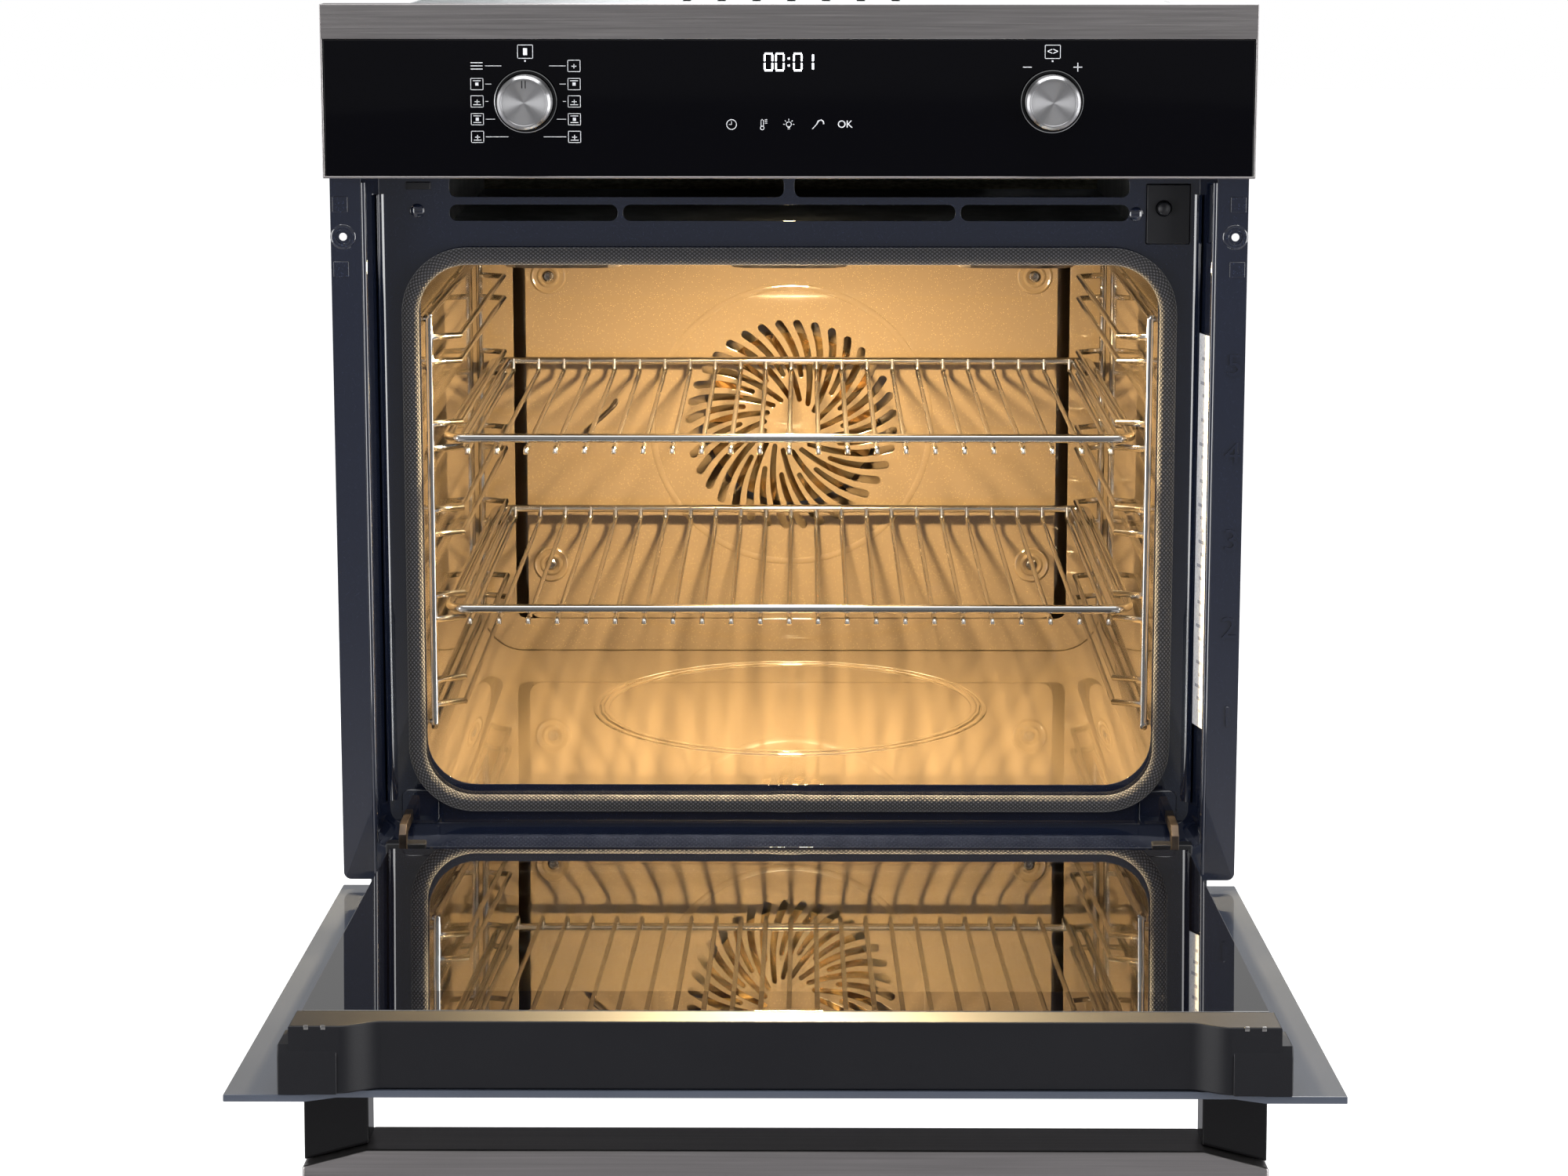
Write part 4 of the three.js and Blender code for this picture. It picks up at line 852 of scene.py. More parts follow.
class OVEN_OT_stage(OvenOperator, bpy.types.Operator):
    """Sets out the pale floor, the soft lights, the lit lamp and the camera"""

    bl_idname = "oven.stage"
    bl_label = "Stage"

    def area(self, name, place, target, size, watts, colour=(1, 1, 1)):
        data = bpy.data.lights.new(name, "AREA")
        data.shape = "RECTANGLE"
        data.size, data.size_y = size
        data.energy = watts
        data.color = colour
        light = placed(name, data)
        light.location = place
        light.rotation_euler = (Vector(target) - Vector(place)).to_track_quat("-Z", "Y").to_euler()

    def execute(self, context):
        sizes, colours = context.scene.oven_sizes, context.scene.oven_colours
        context.scene.view_settings.view_transform = "Standard"

        deselect()
        bpy.ops.mesh.primitive_plane_add(size=30, location=(0, 0, -sizes.floor_drop))
        floor = context.object
        floor.name = "floor"
        settle(floor)
        # Matt white studio paint, rolled so that only a faint mottle is left.
        material, tree, shader, coords = surface("studio_paint_matt", "#F4F4F4", 0.9)
        mottle = noise(tree, coords, 3.0)
        # Polished pieces mirror the floor dimly, as if grey cloth lay in front of the oven.
        path = add(tree, "ShaderNodeLightPath")
        pale = ramp(tree, mottle, [(0.3, "#F1F1F1"), (0.7, "#F6F6F6")])
        seen = add(
            tree,
            "ShaderNodeMix",
            [("Factor", path.outputs["Is Glossy Ray"]), (COLOUR_A, pale)],
            data_type="RGBA",
            sockets={COLOUR_B: linear("#9C9CA0")},
        ).outputs[MIXED_COLOUR]
        tree.links.new(seen, shader.inputs["Base Color"])
        shader.inputs["Emission Color"].default_value = linear("#FFFFFF")
        tree.links.new(
            spread(tree, path.outputs["Is Camera Ray"], 0.0, 0.62), shader.inputs["Emission Strength"]
        )
        floor.data.materials.append(material)

        world = bpy.data.worlds.new("studio")
        context.scene.world = world
        world.use_nodes = True
        tree = world.node_tree
        background = tree.nodes["Background"]
        background.inputs["Color"].default_value = (*colours.studio, 1)
        # The room is bright to the eye and to matt surfaces, and dim in what polished ones mirror.
        path = add(tree, "ShaderNodeLightPath")
        matt = spread(tree, path.outputs["Is Glossy Ray"], 0.5, 0.3)
        strength = add(
            tree, "ShaderNodeMath", [(0, path.outputs["Is Camera Ray"]), (1, matt)], operation="MAXIMUM"
        )
        tree.links.new(strength.outputs[0], background.inputs["Strength"])

        self.area("left_softbox", (-1.9, -1.6, 0.36), (0, 0, 0.3), (1.1, 1.5), 26)
        self.area("right_softbox", (1.9, -1.4, 0.36), (0, 0, 0.3), (1.1, 1.5), 30)
        self.area("top_softbox", (0, -0.9, 2.3), (0, -0.2, 0.2), (2.2, 1.4), 34)
        self.area("back_softbox", (0.4, 2.2, 1.6), (0, 0.2, 0.3), (1.6, 1.2), 24)

        lamp_low, lamp_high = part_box("lamp_glass")
        centre = (lamp_low + lamp_high) / 2
        below = Vector((centre.x, centre.y, lamp_low.z - 0.006))
        self.area(
            "oven_lamp", below, below - Vector((0, 0, 1)), (0.05, 0.03), 20.0, colours.lamp
        )
        glow = bpy.data.lights.new("oven_lamp_spread", "POINT")
        glow.energy = 9.0
        glow.color = colours.lamp
        glow.shadow_soft_size = 0.009
        placed("oven_lamp_spread", glow).location = below - Vector((0, 0, 0.022))
        # A little of the lamp's light leaks past its housing and shows in the middle vent.
        leak = bpy.data.lights.new("oven_lamp_leak", "POINT")
        leak.energy = 0.03
        leak.color = colours.lamp
        leak.shadow_soft_size = 0.005
        placed("oven_lamp_leak", leak).location = at(0, 74, 458)

        # The camera stands two and a half metres in front and looks down by about nine degrees.
        camera = placed("camera", bpy.data.cameras.new("camera"))
        context.scene.camera = camera
        camera.location = (0.00973, -2.4991, 0.67097)
        camera.rotation_euler = (math.pi / 2 - 0.1605, 0, 0.0058)
        camera.data.sensor_width = 36
        camera.data.lens = 79.39
        camera.data.shift_y = -0.10
        return {"FINISHED"}


# ---- Front frame ----

FLANGE_FRONT = 20.0
PLATE_FRONT = 50.0
FIXING_X, FIXING_Z = 288.0, 445.0
DIGIT_X = 289.0
DIGIT_HEIGHTS = ((361, "5"), (303, "4"), (245.5, "3"), (187, "2"), (127, "1"))


class OVEN_OT_front_frame(OvenOperator, bpy.types.Operator):
    """Presses the enamelled front frame, with its level digits, embosses and plugs"""

    bl_idname = "oven.front_frame"
    bl_label = "Front Frame"

    def execute(self, context):
        edge = context.scene.oven_sizes.edge
        refit("front_frame", "front_frame_pressed", edge, "chassis", "enamel")

        digits = [
            lettering(f"level_{text}", text, DIGIT_X, z, FLANGE_FRONT - 0.8, 14, "enamel", "chassis", 1.1, 1)
            for z, text in DIGIT_HEIGHTS
        ]
        for digit in digits:
            modify(digit, "BEVEL", width=0.3 * MM, segments=2, limit_method="ANGLE")

        # The recess is drawn with a broad root where its side walls meet the plate, and its mouth
        # is rolled over to the flange.
        root, wall = (267.6, PLATE_FRONT), (274.6, 21.6)
        radius = 7.0
        for label, side in SIDES:
            centre = (root[0] - radius * 0.86, root[1] - radius)
            turn = [math.radians(a) for a in range(-13, 91, 8)]
            arc = [(centre[0] + radius * math.cos(a), centre[1] + radius * math.sin(a)) for a in turn]
            outline = [(x * side, y) for x, y in [(root[0] + 0.1, root[1] - 0.1), *arc]]
            corner = sheet(f"recess_root_{label}", [outline], "z", 62.0, 470.0)
            done(corner, "chassis", "enamel", degrees=40)
            roll = tube(
                f"recess_roll_{label}",
                [[(wall[0] * side, wall[1], 20.0), (wall[0] * side, wall[1], 480.0)]], 1.9, 20,
            )
            done(roll, "chassis", "enamel", degrees=60)

        # A dished seat round each fixing hole, and the stepped pads over and under it.
        for label, side in SIDES:
            x = FIXING_X * side
            seat = spun(
                f"fixing_seat_{label}",
                [(4.2, FLANGE_FRONT), (4.6, FLANGE_FRONT - 0.5), (6.2, FLANGE_FRONT - 0.75),
                 (7.6, FLANGE_FRONT - 0.5), (8.2, FLANGE_FRONT), (4.2, FLANGE_FRONT)],
                x, FIXING_Z, 48,
            )
            done(seat, "chassis", "enamel")
            for name, z in (("upper", FIXING_Z + 21), ("lower", FIXING_Z - 21)):
                pad = block(
                    f"fixing_pad_{name}_{label}",
                    sorted((x - 3.4 * side, 294.5 * side)), (FLANGE_FRONT - 0.7, FLANGE_FRONT),
                    (z - 5, z + 5), 0.65,
                )
                done(pad, "chassis", "enamel")

        # The lower corners of the plate carry a shallow rounded-square emboss.
        plate = PLATE_FRONT
        for label, side in SIDES:
            outline = round_rect(12.5, 45.5, 69.5, 5.0, 6, 247.5 * side)
            emboss = sheet(f"corner_emboss_{label}", [outline], "y", plate - 1.0, plate, 0.8)
            done(emboss, "chassis", "enamel")
        # Moulded plugs fill two of the plate's spare holes.
        for label, x, z in (("left", -243.0, 459.0), ("right", 226.5, 457.0)):
            plug = spun(
                f"plug_{label}",
                [(0, plate - 2.4), (2.6, plate - 2.2), (4.2, plate - 1.3), (4.7, plate - 0.1),
                 (0, plate - 0.1)],
                x, z, 40,
            )
            done(plug, "chassis", "enamel")
        latch = block("latch_bit", (-250, -234), (plate - 1.6, plate - 0.1), (473, 478), 0.6)
        done(latch, "chassis", "black_plastic")

        outline = [(24.0, 118.0), (24.0, 380.0), (42.0, 380.0), (42.0, 118.0)]
        strip = sheet("rating_strip", [outline], "x", 0.0, 0.3)
        self.lean_on_wall(strip)
        done(strip, "chassis", "label_film")
        # Generic marks on the strip: short printed rows of uneven length.
        rows = []
        left, height = 27.0, 2.2
        for i in range(30):
            foot = 128.0 + i * 8.1
            right = left + 4.0 + 7.0 * ((i * 7) % 5) / 4
            outline = [(left, foot), (left, foot + height), (right, foot + height), (right, foot)]
            rows.append(sheet("strip_row", [outline], "x", -0.12, 0.0))
        rows = joined("strip_rows", rows)
        self.lean_on_wall(rows)
        done(rows, "chassis", "white_print", "grey_print")
        return {"FINISHED"}

    def lean_on_wall(self, obj):
        """Moves a flat piece onto the right wall of the recess, which leans in towards the plate."""
        mouth, mouth_depth, root, clear = 276.0, 21.2, 268.0, 1.8
        lean = math.atan2(mouth - root, PLATE_FRONT - mouth_depth)
        for vertex in obj.data.vertices:
            depth = (vertex.co.y - ORIGIN.y) / MM
            vertex.co.x += (mouth - (depth - mouth_depth) * math.tan(lean) - clear) * MM


# ---- Gasket ----


class OVEN_OT_gasket(OvenOperator, bpy.types.Operator):
    """Lays the knitted glass-fibre gasket round the cavity's mouth"""

    bl_idname = "oven.gasket"
    bl_label = "Door Gasket"

    def execute(self, context):
        low, high = span("door_gasket")
        radius = 5.7
        back, front = high.y, low.y
        inset = radius + 0.1
        outline = round_rect(high.x - inset, low.z + inset, high.z - inset, 38.0, 20)
        fine = []
        for i, (x, z) in enumerate(outline):
            after = outline[(i + 1) % len(outline)]
            steps = max(1, int(math.dist((x, z), after) / 6))
            fine += [
                (x + (after[0] - x) * s / steps, (front + back) / 2, z + (after[1] - z) * s / steps)
                for s in range(steps)
            ]
        section = [
            (radius * math.cos(a), (back - front) / 2 * math.sin(a))
            for a in (2 * math.pi * i / 20 for i in range(20))
        ]
        hose = swept("gasket_hose", fine, section)
        # The hose's ends meet at the bottom, where the join makes it bulge a little.
        for vertex in hose.data.vertices:
            x = (vertex.co.x - ORIGIN.x) / MM
            z = (vertex.co.z - ORIGIN.z) / MM
            if z < low.z + 2.5 * inset:
                swell = 0.9 * math.exp(-((x / 7.0) ** 2)) - 0.5 * math.exp(-((x / 1.2) ** 2))
                middle = low.z + inset
                vertex.co.z += (z - middle) / radius * swell * MM
        # A flat tail runs from the hose into the gap behind the plate.
        tail = swept(
            "gasket_tail",
            [(x, back - 1.2, z) for x, _, z in fine],
            [(-3.6, 0.0), (-3.6, 2.4), (-2.2, 2.4), (-2.2, 0.0)],
        )
        done(joined("gasket_knitted", [hose, tail]), "chassis", "glass_fibre", instead=["door_gasket"])
        return {"FINISHED"}


# ---- Cavity ----


class OVEN_OT_cavity(OvenOperator, bpy.types.Operator):
    """Presses the enamelled cavity, with its stepped rear wall and the ridges in its floor"""

    bl_idname = "oven.cavity"
    bl_label = "Cavity"

    def execute(self, context):
        for node, name in (("cavity_wrapper", "cavity_shell"), ("cavity_back", "cavity_back_pressed")):
            refit(node, name, 0.6 * MM, "chassis", "enamel", "cavity_enamel", 2, 40)

        # The rear wall steps forward round the fan compartment, flush with the fan cover.
        _, high = span("cavity_wrapper")
        cover_low, _ = span("fan_cover")
        half, floor, ceiling = high.x - 1.5, 73.3, 426.7
        corner, gap = 31.8, 215.5
        arc = round_rect(half, floor, ceiling, corner, 12)
        right_side = [(x, z) for x, z in arc if z < 250 and x > 0]
        top = ceiling - corner + math.sqrt(corner**2 - (gap - (half - corner)) ** 2)
        quarter = [
            (half - corner + corner * math.cos(a), ceiling - corner + corner * math.sin(a))
            for a in (math.acos((gap - half + corner) / corner) * k / 8 for k in range(9))
        ]
        right = right_side + quarter
        left = [(-x, z) for x, z in reversed(right)]
        mouth = [(-gap, 106.0), (-gap + 2.2, 100.6), (-gap + 7.0, 98.6), (gap - 7.0, 98.6),
                 (gap - 2.2, 100.6), (gap, 106.0)]
        outline = left + right[:-1] + [(gap, top)] + mouth[::-1] + [(-gap, top)]
        step = sheet("rear_step", [outline], "y", cover_low.y, cover_low.y + 1.2, 0.4)
        done(step, "chassis", "enamel", "cavity_enamel")
        ridges = []
        for radius in (142.0, 134.5):
            deselect()
            bpy.ops.mesh.primitive_torus_add(
                location=at(0, 272.0, 73.1),
                major_radius=radius * MM,
                minor_radius=2.2 * MM,
                major_segments=144,
                minor_segments=16,
            )
            ring = context.object
            ring.scale.z = 0.55
            settle(ring)
            ridges.append(ring)
        done(joined("floor_ridges", ridges), "chassis", "enamel", "cavity_enamel")
        return {"FINISHED"}


ROSETTE_Z = 252.6


class OVEN_OT_fan_cover(OvenOperator, bpy.types.Operator):
    """Presses the fan cover, with its rosette of curved slots and dished screws"""

    bl_idname = "oven.fan_cover"
    bl_label = "Fan Cover"

    def half_width(self, width, along):
        """Slots widen from three fifths of their width at the inner end."""
        return width / 2 * (0.6 + 0.4 * along)

    def slot(self, angle, inner, outer, width):
        """One slot that turns as it runs outwards, with round ends."""
        offset, bow, steps = 10.0, math.radians(14), 12
        spine = []
        for i in range(steps + 1):
            radius = inner + (outer - inner) * i / steps
            turn = angle - math.asin(offset / radius) + bow * (radius / outer) ** 2
            spine.append(Vector((radius * math.cos(turn), ROSETTE_Z + radius * math.sin(turn))))
        left, right = [], []
        for i, point in enumerate(spine):
            along = (spine[min(i + 1, steps)] - spine[max(i - 1, 0)]).normalized()
            side = Vector((-along.y, along.x)) * self.half_width(width, i / steps)
            left.append(point + side)
            right.append(point - side)
        ends = []
        for point, ahead, half in (
            (spine[-1], spine[-1] - spine[-2], self.half_width(width, 1)),
            (spine[0], spine[0] - spine[1], self.half_width(width, 0)),
        ):
            start = math.atan2(ahead.y, ahead.x)
            ends.append(
                [
                    point + Vector((math.cos(start + a), math.sin(start + a))) * half
                    for a in (math.pi / 2 - math.pi * k / 6 for k in range(1, 6))
                ]
            )
        outline = left + ends[0] + right[::-1] + ends[1]
        return [(p.x, p.y) for p in outline]

    def execute(self, context):
        low, high = span("fan_cover")
        count = context.scene.oven_sizes.rosette_slots
        slots = [
            self.slot(i / count * 2 * math.pi, 40.0 if i % 2 else 21.0, 79.5, 6.2)
            for i in range(count)
        ]
        plate = round_rect(high.x, low.z, high.z, 10.0, 8)
        face = sheet("fan_cover_face", [plate, *slots], "y", low.y, low.y + 1.2, 0.35, 1)
        # The rim turns back to the cavity's rear wall.
        path = [(x, low.y + 0.6, z) for x, z in round_rect(high.x, low.z, high.z, 10.0, 8)]
        rim = swept("fan_cover_rim", path, [(0.0, 0.0), (0.0, 40.0), (-1.0, 40.0), (-1.0, 0.0)])
        deselect()
        bpy.ops.mesh.primitive_torus_add(
            location=at(0, low.y + 0.2, ROSETTE_Z),
            rotation=TURNS["y"],
            major_radius=108 * MM,
            minor_radius=2.6 * MM,
            major_segments=144,
            minor_segments=14,
        )
        ring = context.object
        ring.scale.z = 0.3
        settle(ring)
        done(
            joined("fan_cover_pressed", [face, rim, ring]),
            "chassis", "enamel", "cavity_enamel", instead=["fan_cover"],
        )

        for number in range(1, 5):
            node = f"fan_cover_screw_{number}"
            screw_low, screw_high = span(node)
            x, z = (screw_low.x + screw_high.x) / 2, (screw_low.z + screw_high.z) / 2
            dish = spun(
                f"screw_dish_{number}",
                [(4.6, low.y - 0.1), (6.4, low.y - 1.5), (7.6, low.y - 1.5), (9.0, low.y - 0.5),
                 (11.2, low.y - 0.7), (12.4, low.y - 1.3), (13.4, low.y - 0.9), (14.0, low.y - 0.1)],
                x, z, 48,
            )
            done(dish, "chassis", "enamel", "cavity_enamel")
            head = spun(
                f"cover_screw_{number}",
                [(0, low.y - 1.0), (1.2, low.y - 1.0), (1.6, low.y - 1.9), (3.0, low.y - 2.1),
                 (4.1, low.y - 1.5), (4.4, low.y - 0.2), (0, low.y - 0.2)],
                x, z, 40,
            )
            done(head, "chassis", "screw_steel", instead=[node])

        sensor = tube(
            "temperature_sensor",
            [rounded([(-158, low.y - 0.5, 247), (-158, low.y - 9, 250), (-136, low.y - 9, 270),
                      (-136, low.y - 0.5, 272)], 6)],
            1.6, 12,
        )
        done(sensor, "chassis", "heater_steel")
        return {"FINISHED"}


# ---- Racks, shelves and lamp ----


class OVEN_OT_racks(OvenOperator, bpy.types.Operator):
    """Bends the two chromed side racks"""

    bl_idname = "oven.racks"
    bl_label = "Side Racks"

    def execute(self, context):
        for label, _ in SIDES:
            node = f"side_rack_{label}"
            copy = placed(f"{node}_wire", frame["nodes"][node].data.copy())
            tidy(copy)
            done(copy, "chassis", "chrome", instead=[node], degrees=60)
        return {"FINISHED"}


class OVEN_OT_shelves(OvenOperator, bpy.types.Operator):
    """Welds the two chromed shelves from round wire"""

    bl_idname = "oven.shelves"
    bl_label = "Shelves"

    def execute(self, context):
        for node in ("shelf_upper", "shelf_lower"):
            _, high = span(node)
            bar, thin = 3.0, 1.75
            top = high.z - bar
            front, rear = 70.0, 440.0
            reach, inner, corner = 229.0, 218.5, 14.0
            frame_path = rounded(
                [(0, front, top), (reach, front, top), (reach, rear, top), (-reach, rear, top),
                 (-reach, front, top), (0, front, top)],
                corner,
            )
            heavy = tube(f"{node}_frame", [frame_path[:-1]], bar, 16, True)
            side_bars = tube(
                f"{node}_sides",
                [[(side * inner, front, top), (side * inner, rear, top)] for _, side in SIDES],
                2.2, 12,
            )
            wires = []
            count, pitch, drop = 23, 19.5, 8.0
            for i in range(count):
                x = (i - (count - 1) / 2) * pitch
                wires.append(
                    rounded(
                        [(x, front - 1.6, top - 10.5), (x, front + 0.6, top - 6.5),
                         (x, front + 5, top - drop), (x, rear - 2.4, top - drop),
                         (x, rear - 1.2, top + 1.5)],
                        2.5, 3,
                    )
                )
            thin_wires = tube(f"{node}_wires", wires, thin, 8)
            whole = joined(f"{node}_wire", [heavy, side_bars, thin_wires])
            done(whole, node, "chrome", instead=[node], degrees=60)
        return {"FINISHED"}


class OVEN_OT_lamp(OvenOperator, bpy.types.Operator):
    """Blows the lamp's cover glass and lights its capsule"""

    bl_idname = "oven.lamp"
    bl_label = "Lamp"

    def execute(self, context):
        refit("lamp_glass", "lamp_cover", 1.2 * MM, "chassis", "clear_glass")
        wear(frame["nodes"]["lamp_bulb"], "lamp_glow")
        return {"FINISHED"}


# ---- Fascia ----


class OVEN_OT_fascia(OvenOperator, bpy.types.Operator):
    """Makes the brushed trim, the glass front with its prints, and the lit display"""

    bl_idname = "oven.fascia"
    bl_label = "Fascia"

    def bars(self, name, places, ink, slot="white_print"):
        """Small printed marks at the ink's depth, each (x, z, width, height)."""
        marks = []
        for x, z, width, height in places:
            deselect()
            bpy.ops.mesh.primitive_plane_add(size=1.0, location=at(x, ink, z), rotation=TURNS["y"])
            mark = bpy.context.object
            mark.scale = (width * MM, height * MM, 1)
            settle(mark)
            marks.append(mark)
        return done(joined(name, marks), "chassis", slot)

    def outline_box(self, x, z, width, height, line=0.35):
        """The four strokes of a box."""
        return [
            (x, z + height / 2, width + line, line),
            (x, z - height / 2, width + line, line),
            (x - width / 2, z, line, height + line),
            (x + width / 2, z, line, height + line),
        ]

    def execute(self, context):
        sizes = context.scene.oven_sizes
        refit("fascia_trim", "trim_brushed", sizes.edge * 0.6, "chassis", "brushed_steel")
        refit("fascia_glass", "fascia_pane", sizes.glass_edge, "chassis", "black_glass", segments=2)
        glass_low, _ = span("fascia_glass")
        ink = glass_low.y - 0.05

        strokes = []
        left, right = -167.3, 167.3  # the knobs' axes
        sign_row, dot_row, scale_row, key_row = 565.1, 559.2, 555.4, 519.0
        # Functions ring the left knob, each a small boxed sign with a leader line.
        strokes += self.outline_box(left, sign_row, 9.6, 8.4)
        strokes += [(left - 0.1, dot_row, 1.0, 1.0), (left, sign_row, 2.6, 4.4)]
        rows = (556.1, 544.6, 533.6, 522.3, 511.1)
        for i, z in enumerate(rows):
            for side in (-1, 1):
                x = left + side * 30.9
                if side < 0 and i == 0:
                    strokes += [(x, z + k, 7.6, 0.5) for k in (-2.0, 0.0, 2.0)]
                    continue
                strokes += self.outline_box(x, z, 7.8, 7.2)
                if i % 2:
                    strokes.append((x, z + 2.1, 5.0, 0.45))
                if i > 1:
                    strokes.append((x, z - 2.1, 5.0, 0.45))
                if i in (1, 3):
                    strokes.append((x, z, 2.0, 2.0))
                else:
                    strokes.append((x, z - 0.2, 3.2, 0.45))
                    strokes.append((x, z - 0.2, 0.45, 2.6))
        for start, z in zip((15.2, 21.7, 23.7, 19.7, 11.2), rows):
            for side in (-1, 1):
                x0, x1 = left + side * start, left + side * 25.6
                strokes.append(((x0 + x1) / 2, z, abs(x1 - x0), 0.35))
        # A box over the right knob, between a minus and a plus.
        strokes += self.outline_box(right, sign_row, 9.6, 8.4)
        strokes += [(right, dot_row, 1.0, 1.0), (right - 16.0, scale_row, 5.6, 0.55)]
        strokes += [(right + 16.0, scale_row, 5.6, 0.55), (right + 16.0, scale_row, 0.55, 5.6)]
        self.bars("fascia_prints", strokes, ink)
        self.touch_signs(ink, key_row)
        lettering("key_ok", "OK", 35.8, key_row, ink, 4.6, "white_print", "chassis", 1.0, 0.04)
        lettering("sign_turn", "<>", right, sign_row, ink, 4.4, "white_print", "chassis", 1.0, 0.04)

        self.digits("00:01", 0.0, 558.6, ink)
        return {"FINISHED"}

    def touch_signs(self, ink, z):
        """The signs of the touch keys under the display: clock, thermometer, lamp and food probe."""
        clock, heat, lamp, probe = -36.4, -16.9, 0.0, 18.4
        signs = []

        def ring(x, z, radius):
            outlines = [circle(x, z, radius + 0.22), circle(x, z, radius - 0.22)]
            signs.append(sheet("sign_ring", outlines, "y", ink - 0.05, ink))

        def stroke(*points, width=0.44):
            path = [(x, ink, height) for x, height in points]
            signs.append(tube("sign_stroke", [path], width / 2, 6))

        ring(clock, z, 3.1)
        stroke((clock, z + 2.0), (clock, z), (clock - 1.7, z))
        ring(heat, z - 2.2, 1.15)
        stroke((heat - 0.75, z - 1.2), (heat - 0.75, z + 2.6), (heat, z + 3.2), (heat + 0.75, z + 2.6),
               (heat + 0.75, z - 1.2))
        for rise in (0.8, 1.9, 3.0):
            stroke((heat + 1.7, z + rise), (heat + 3.2, z + rise))
        ring(lamp, z + 0.1, 1.6)
        stroke((lamp - 0.9, z - 1.9), (lamp + 0.9, z - 1.9))
        stroke((lamp - 0.7, z - 2.8), (lamp + 0.7, z - 2.8))
        for degrees in range(0, 181, 45):
            across, up = math.cos(math.radians(degrees)), math.sin(math.radians(degrees))
            stroke((lamp + 2.5 * across, z + 0.1 + 2.5 * up), (lamp + 3.5 * across, z + 0.1 + 3.5 * up))
        stroke((probe - 3.4, z - 2.8), (probe - 0.6, z + 0.2), width=0.5)
        stroke((probe - 0.6, z + 0.2), (probe + 0.4, z + 2.2), (probe + 2.2, z + 2.9), (probe + 3.6, z + 1.9),
               (probe + 3.8, z + 0.2), width=0.8)
        done(joined("touch_signs", signs), "chassis", "white_print", degrees=40)

    def digits(self, text, x, z, ink):
        """Seven-segment figures that shine through the glass."""
        lit = {"0": "abcdef", "1": "bc"}
        width, height, line, step, gap = 4.9, 10.6, 1.05, 7.2, 1.2
        segments = {
            "a": (0, height / 2, width, line),
            "d": (0, -height / 2, width, line),
            "b": (width / 2, height / 4, line, height / 2 - gap),
            "c": (width / 2, -height / 4, line, height / 2 - gap),
            "e": (-width / 2, -height / 4, line, height / 2 - gap),
            "f": (-width / 2, height / 4, line, height / 2 - gap),
        }
        # The colon is narrower than a figure, so the figures beside it close up.
        close = 1.5
        places = [close - 2 * step, close - step, 0, step - close, 2 * step - close]
        marks = []
        for place, sign in zip(places, text):
            if sign == ":":
                marks += [(x, z + 2.2, 1.2, 1.2), (x, z - 2.2, 1.2, 1.2)]
                continue
            for segment in lit[sign]:
                across, up, wide, high = segments[segment]
                marks.append((x + place + across, z + up, wide, high))
        self.bars("display_digits", marks, ink, "display_light")


class OVEN_OT_knobs(OvenOperator, bpy.types.Operator):
    """Turns the two control knobs and their bezels"""

    bl_idname = "oven.knobs"
    bl_label = "Knobs"

    def execute(self, context):
        for label in ("function", "setting"):
            low, high = span(f"{label}_knob")
            x, z = (low.x + high.x) / 2, (low.z + high.z) / 2
            radius = (high.x - low.x) / 2
            front = low.y
            knob = spun(
                f"{label}_knob_turned",
                [(0, front + 1.0), (radius * 0.5, front + 0.8), (radius - 3.0, front + 0.55),
                 (radius - 2.7, front), (radius - 1.9, front), (radius - 0.35, front + 1.3),
                 (radius, front + 2.0), (radius, front + 16), (radius - 0.4, front + 19),
                 (0, front + 19)],
                x, z,
            )
            done(knob, f"{label}_knob", "knob_metal", f"{label}_metal", [f"{label}_knob"], 20)
            bezel_low, bezel_high = span(f"{label}_bezel")
            outer = (bezel_high.x - bezel_low.x) / 2
            inner = radius + 0.55
            back = bezel_high.y
            face = bezel_low.y
            bezel = spun(
                f"{label}_bezel_turned",
                [(inner, back), (inner, face + 0.5), (inner + 0.35, face), (outer - 0.5, face),
                 (outer, face + 0.5), (outer, back), (inner, back)],
                x, z,
            )
            done(bezel, "chassis", "gloss_plastic", instead=[f"{label}_bezel"], degrees=25)
            lip = spun(
                f"{label}_bezel_lip",
                [(outer - 0.55, face - 0.02), (outer - 0.5, face - 0.18), (outer - 0.05, face - 0.05),
                 (outer + 0.04, face + 0.6), (outer - 0.55, face + 0.6), (outer - 0.55, face - 0.02)],
                x, z,
            )
            done(lip, "chassis", "chrome", "knob_ring", degrees=25)
        low, high = span("function_knob")
        x, z = (low.x + high.x) / 2, (low.z + high.z) / 2
        marks = [
            block(f"mark_{i}", (x + dx - 0.35, x + dx + 0.35), (low.y + 0.35, low.y + 0.62),
                  (z + 9.2, z + 14.0), 0.1, 1)
            for i, dx in enumerate((-1.1, 1.1))
        ]
        done(joined("function_knob_mark", marks), "function_knob", "black_plastic")
        return {"FINISHED"}


class OVEN_OT_door_switch(OvenOperator, bpy.types.Operator):
    """Moulds the door switch and its plunger"""

    bl_idname = "oven.door_switch"
    bl_label = "Door Switch"

    def execute(self, context):
        refit("door_switch_body", "door_switch_moulded", 0.7 * MM, "chassis", "black_plastic")
        low, high = span("door_switch_plunger")
        x, z = (low.x + high.x) / 2, (low.z + high.z) / 2
        radius = (high.x - low.x) / 2
        pin = spun(
            "plunger_moulded",
            [(0, low.y), (radius * 0.45, low.y + 0.3), (radius * 0.85, low.y + 1.3),
             (radius, low.y + 3.2), (radius, high.y), (0, high.y)],
            x, z, 48,
        )
        done(pin, "door_switch_plunger", "black_plastic", instead=["door_switch_plunger"])
        return {"FINISHED"}


# ---- Door ----


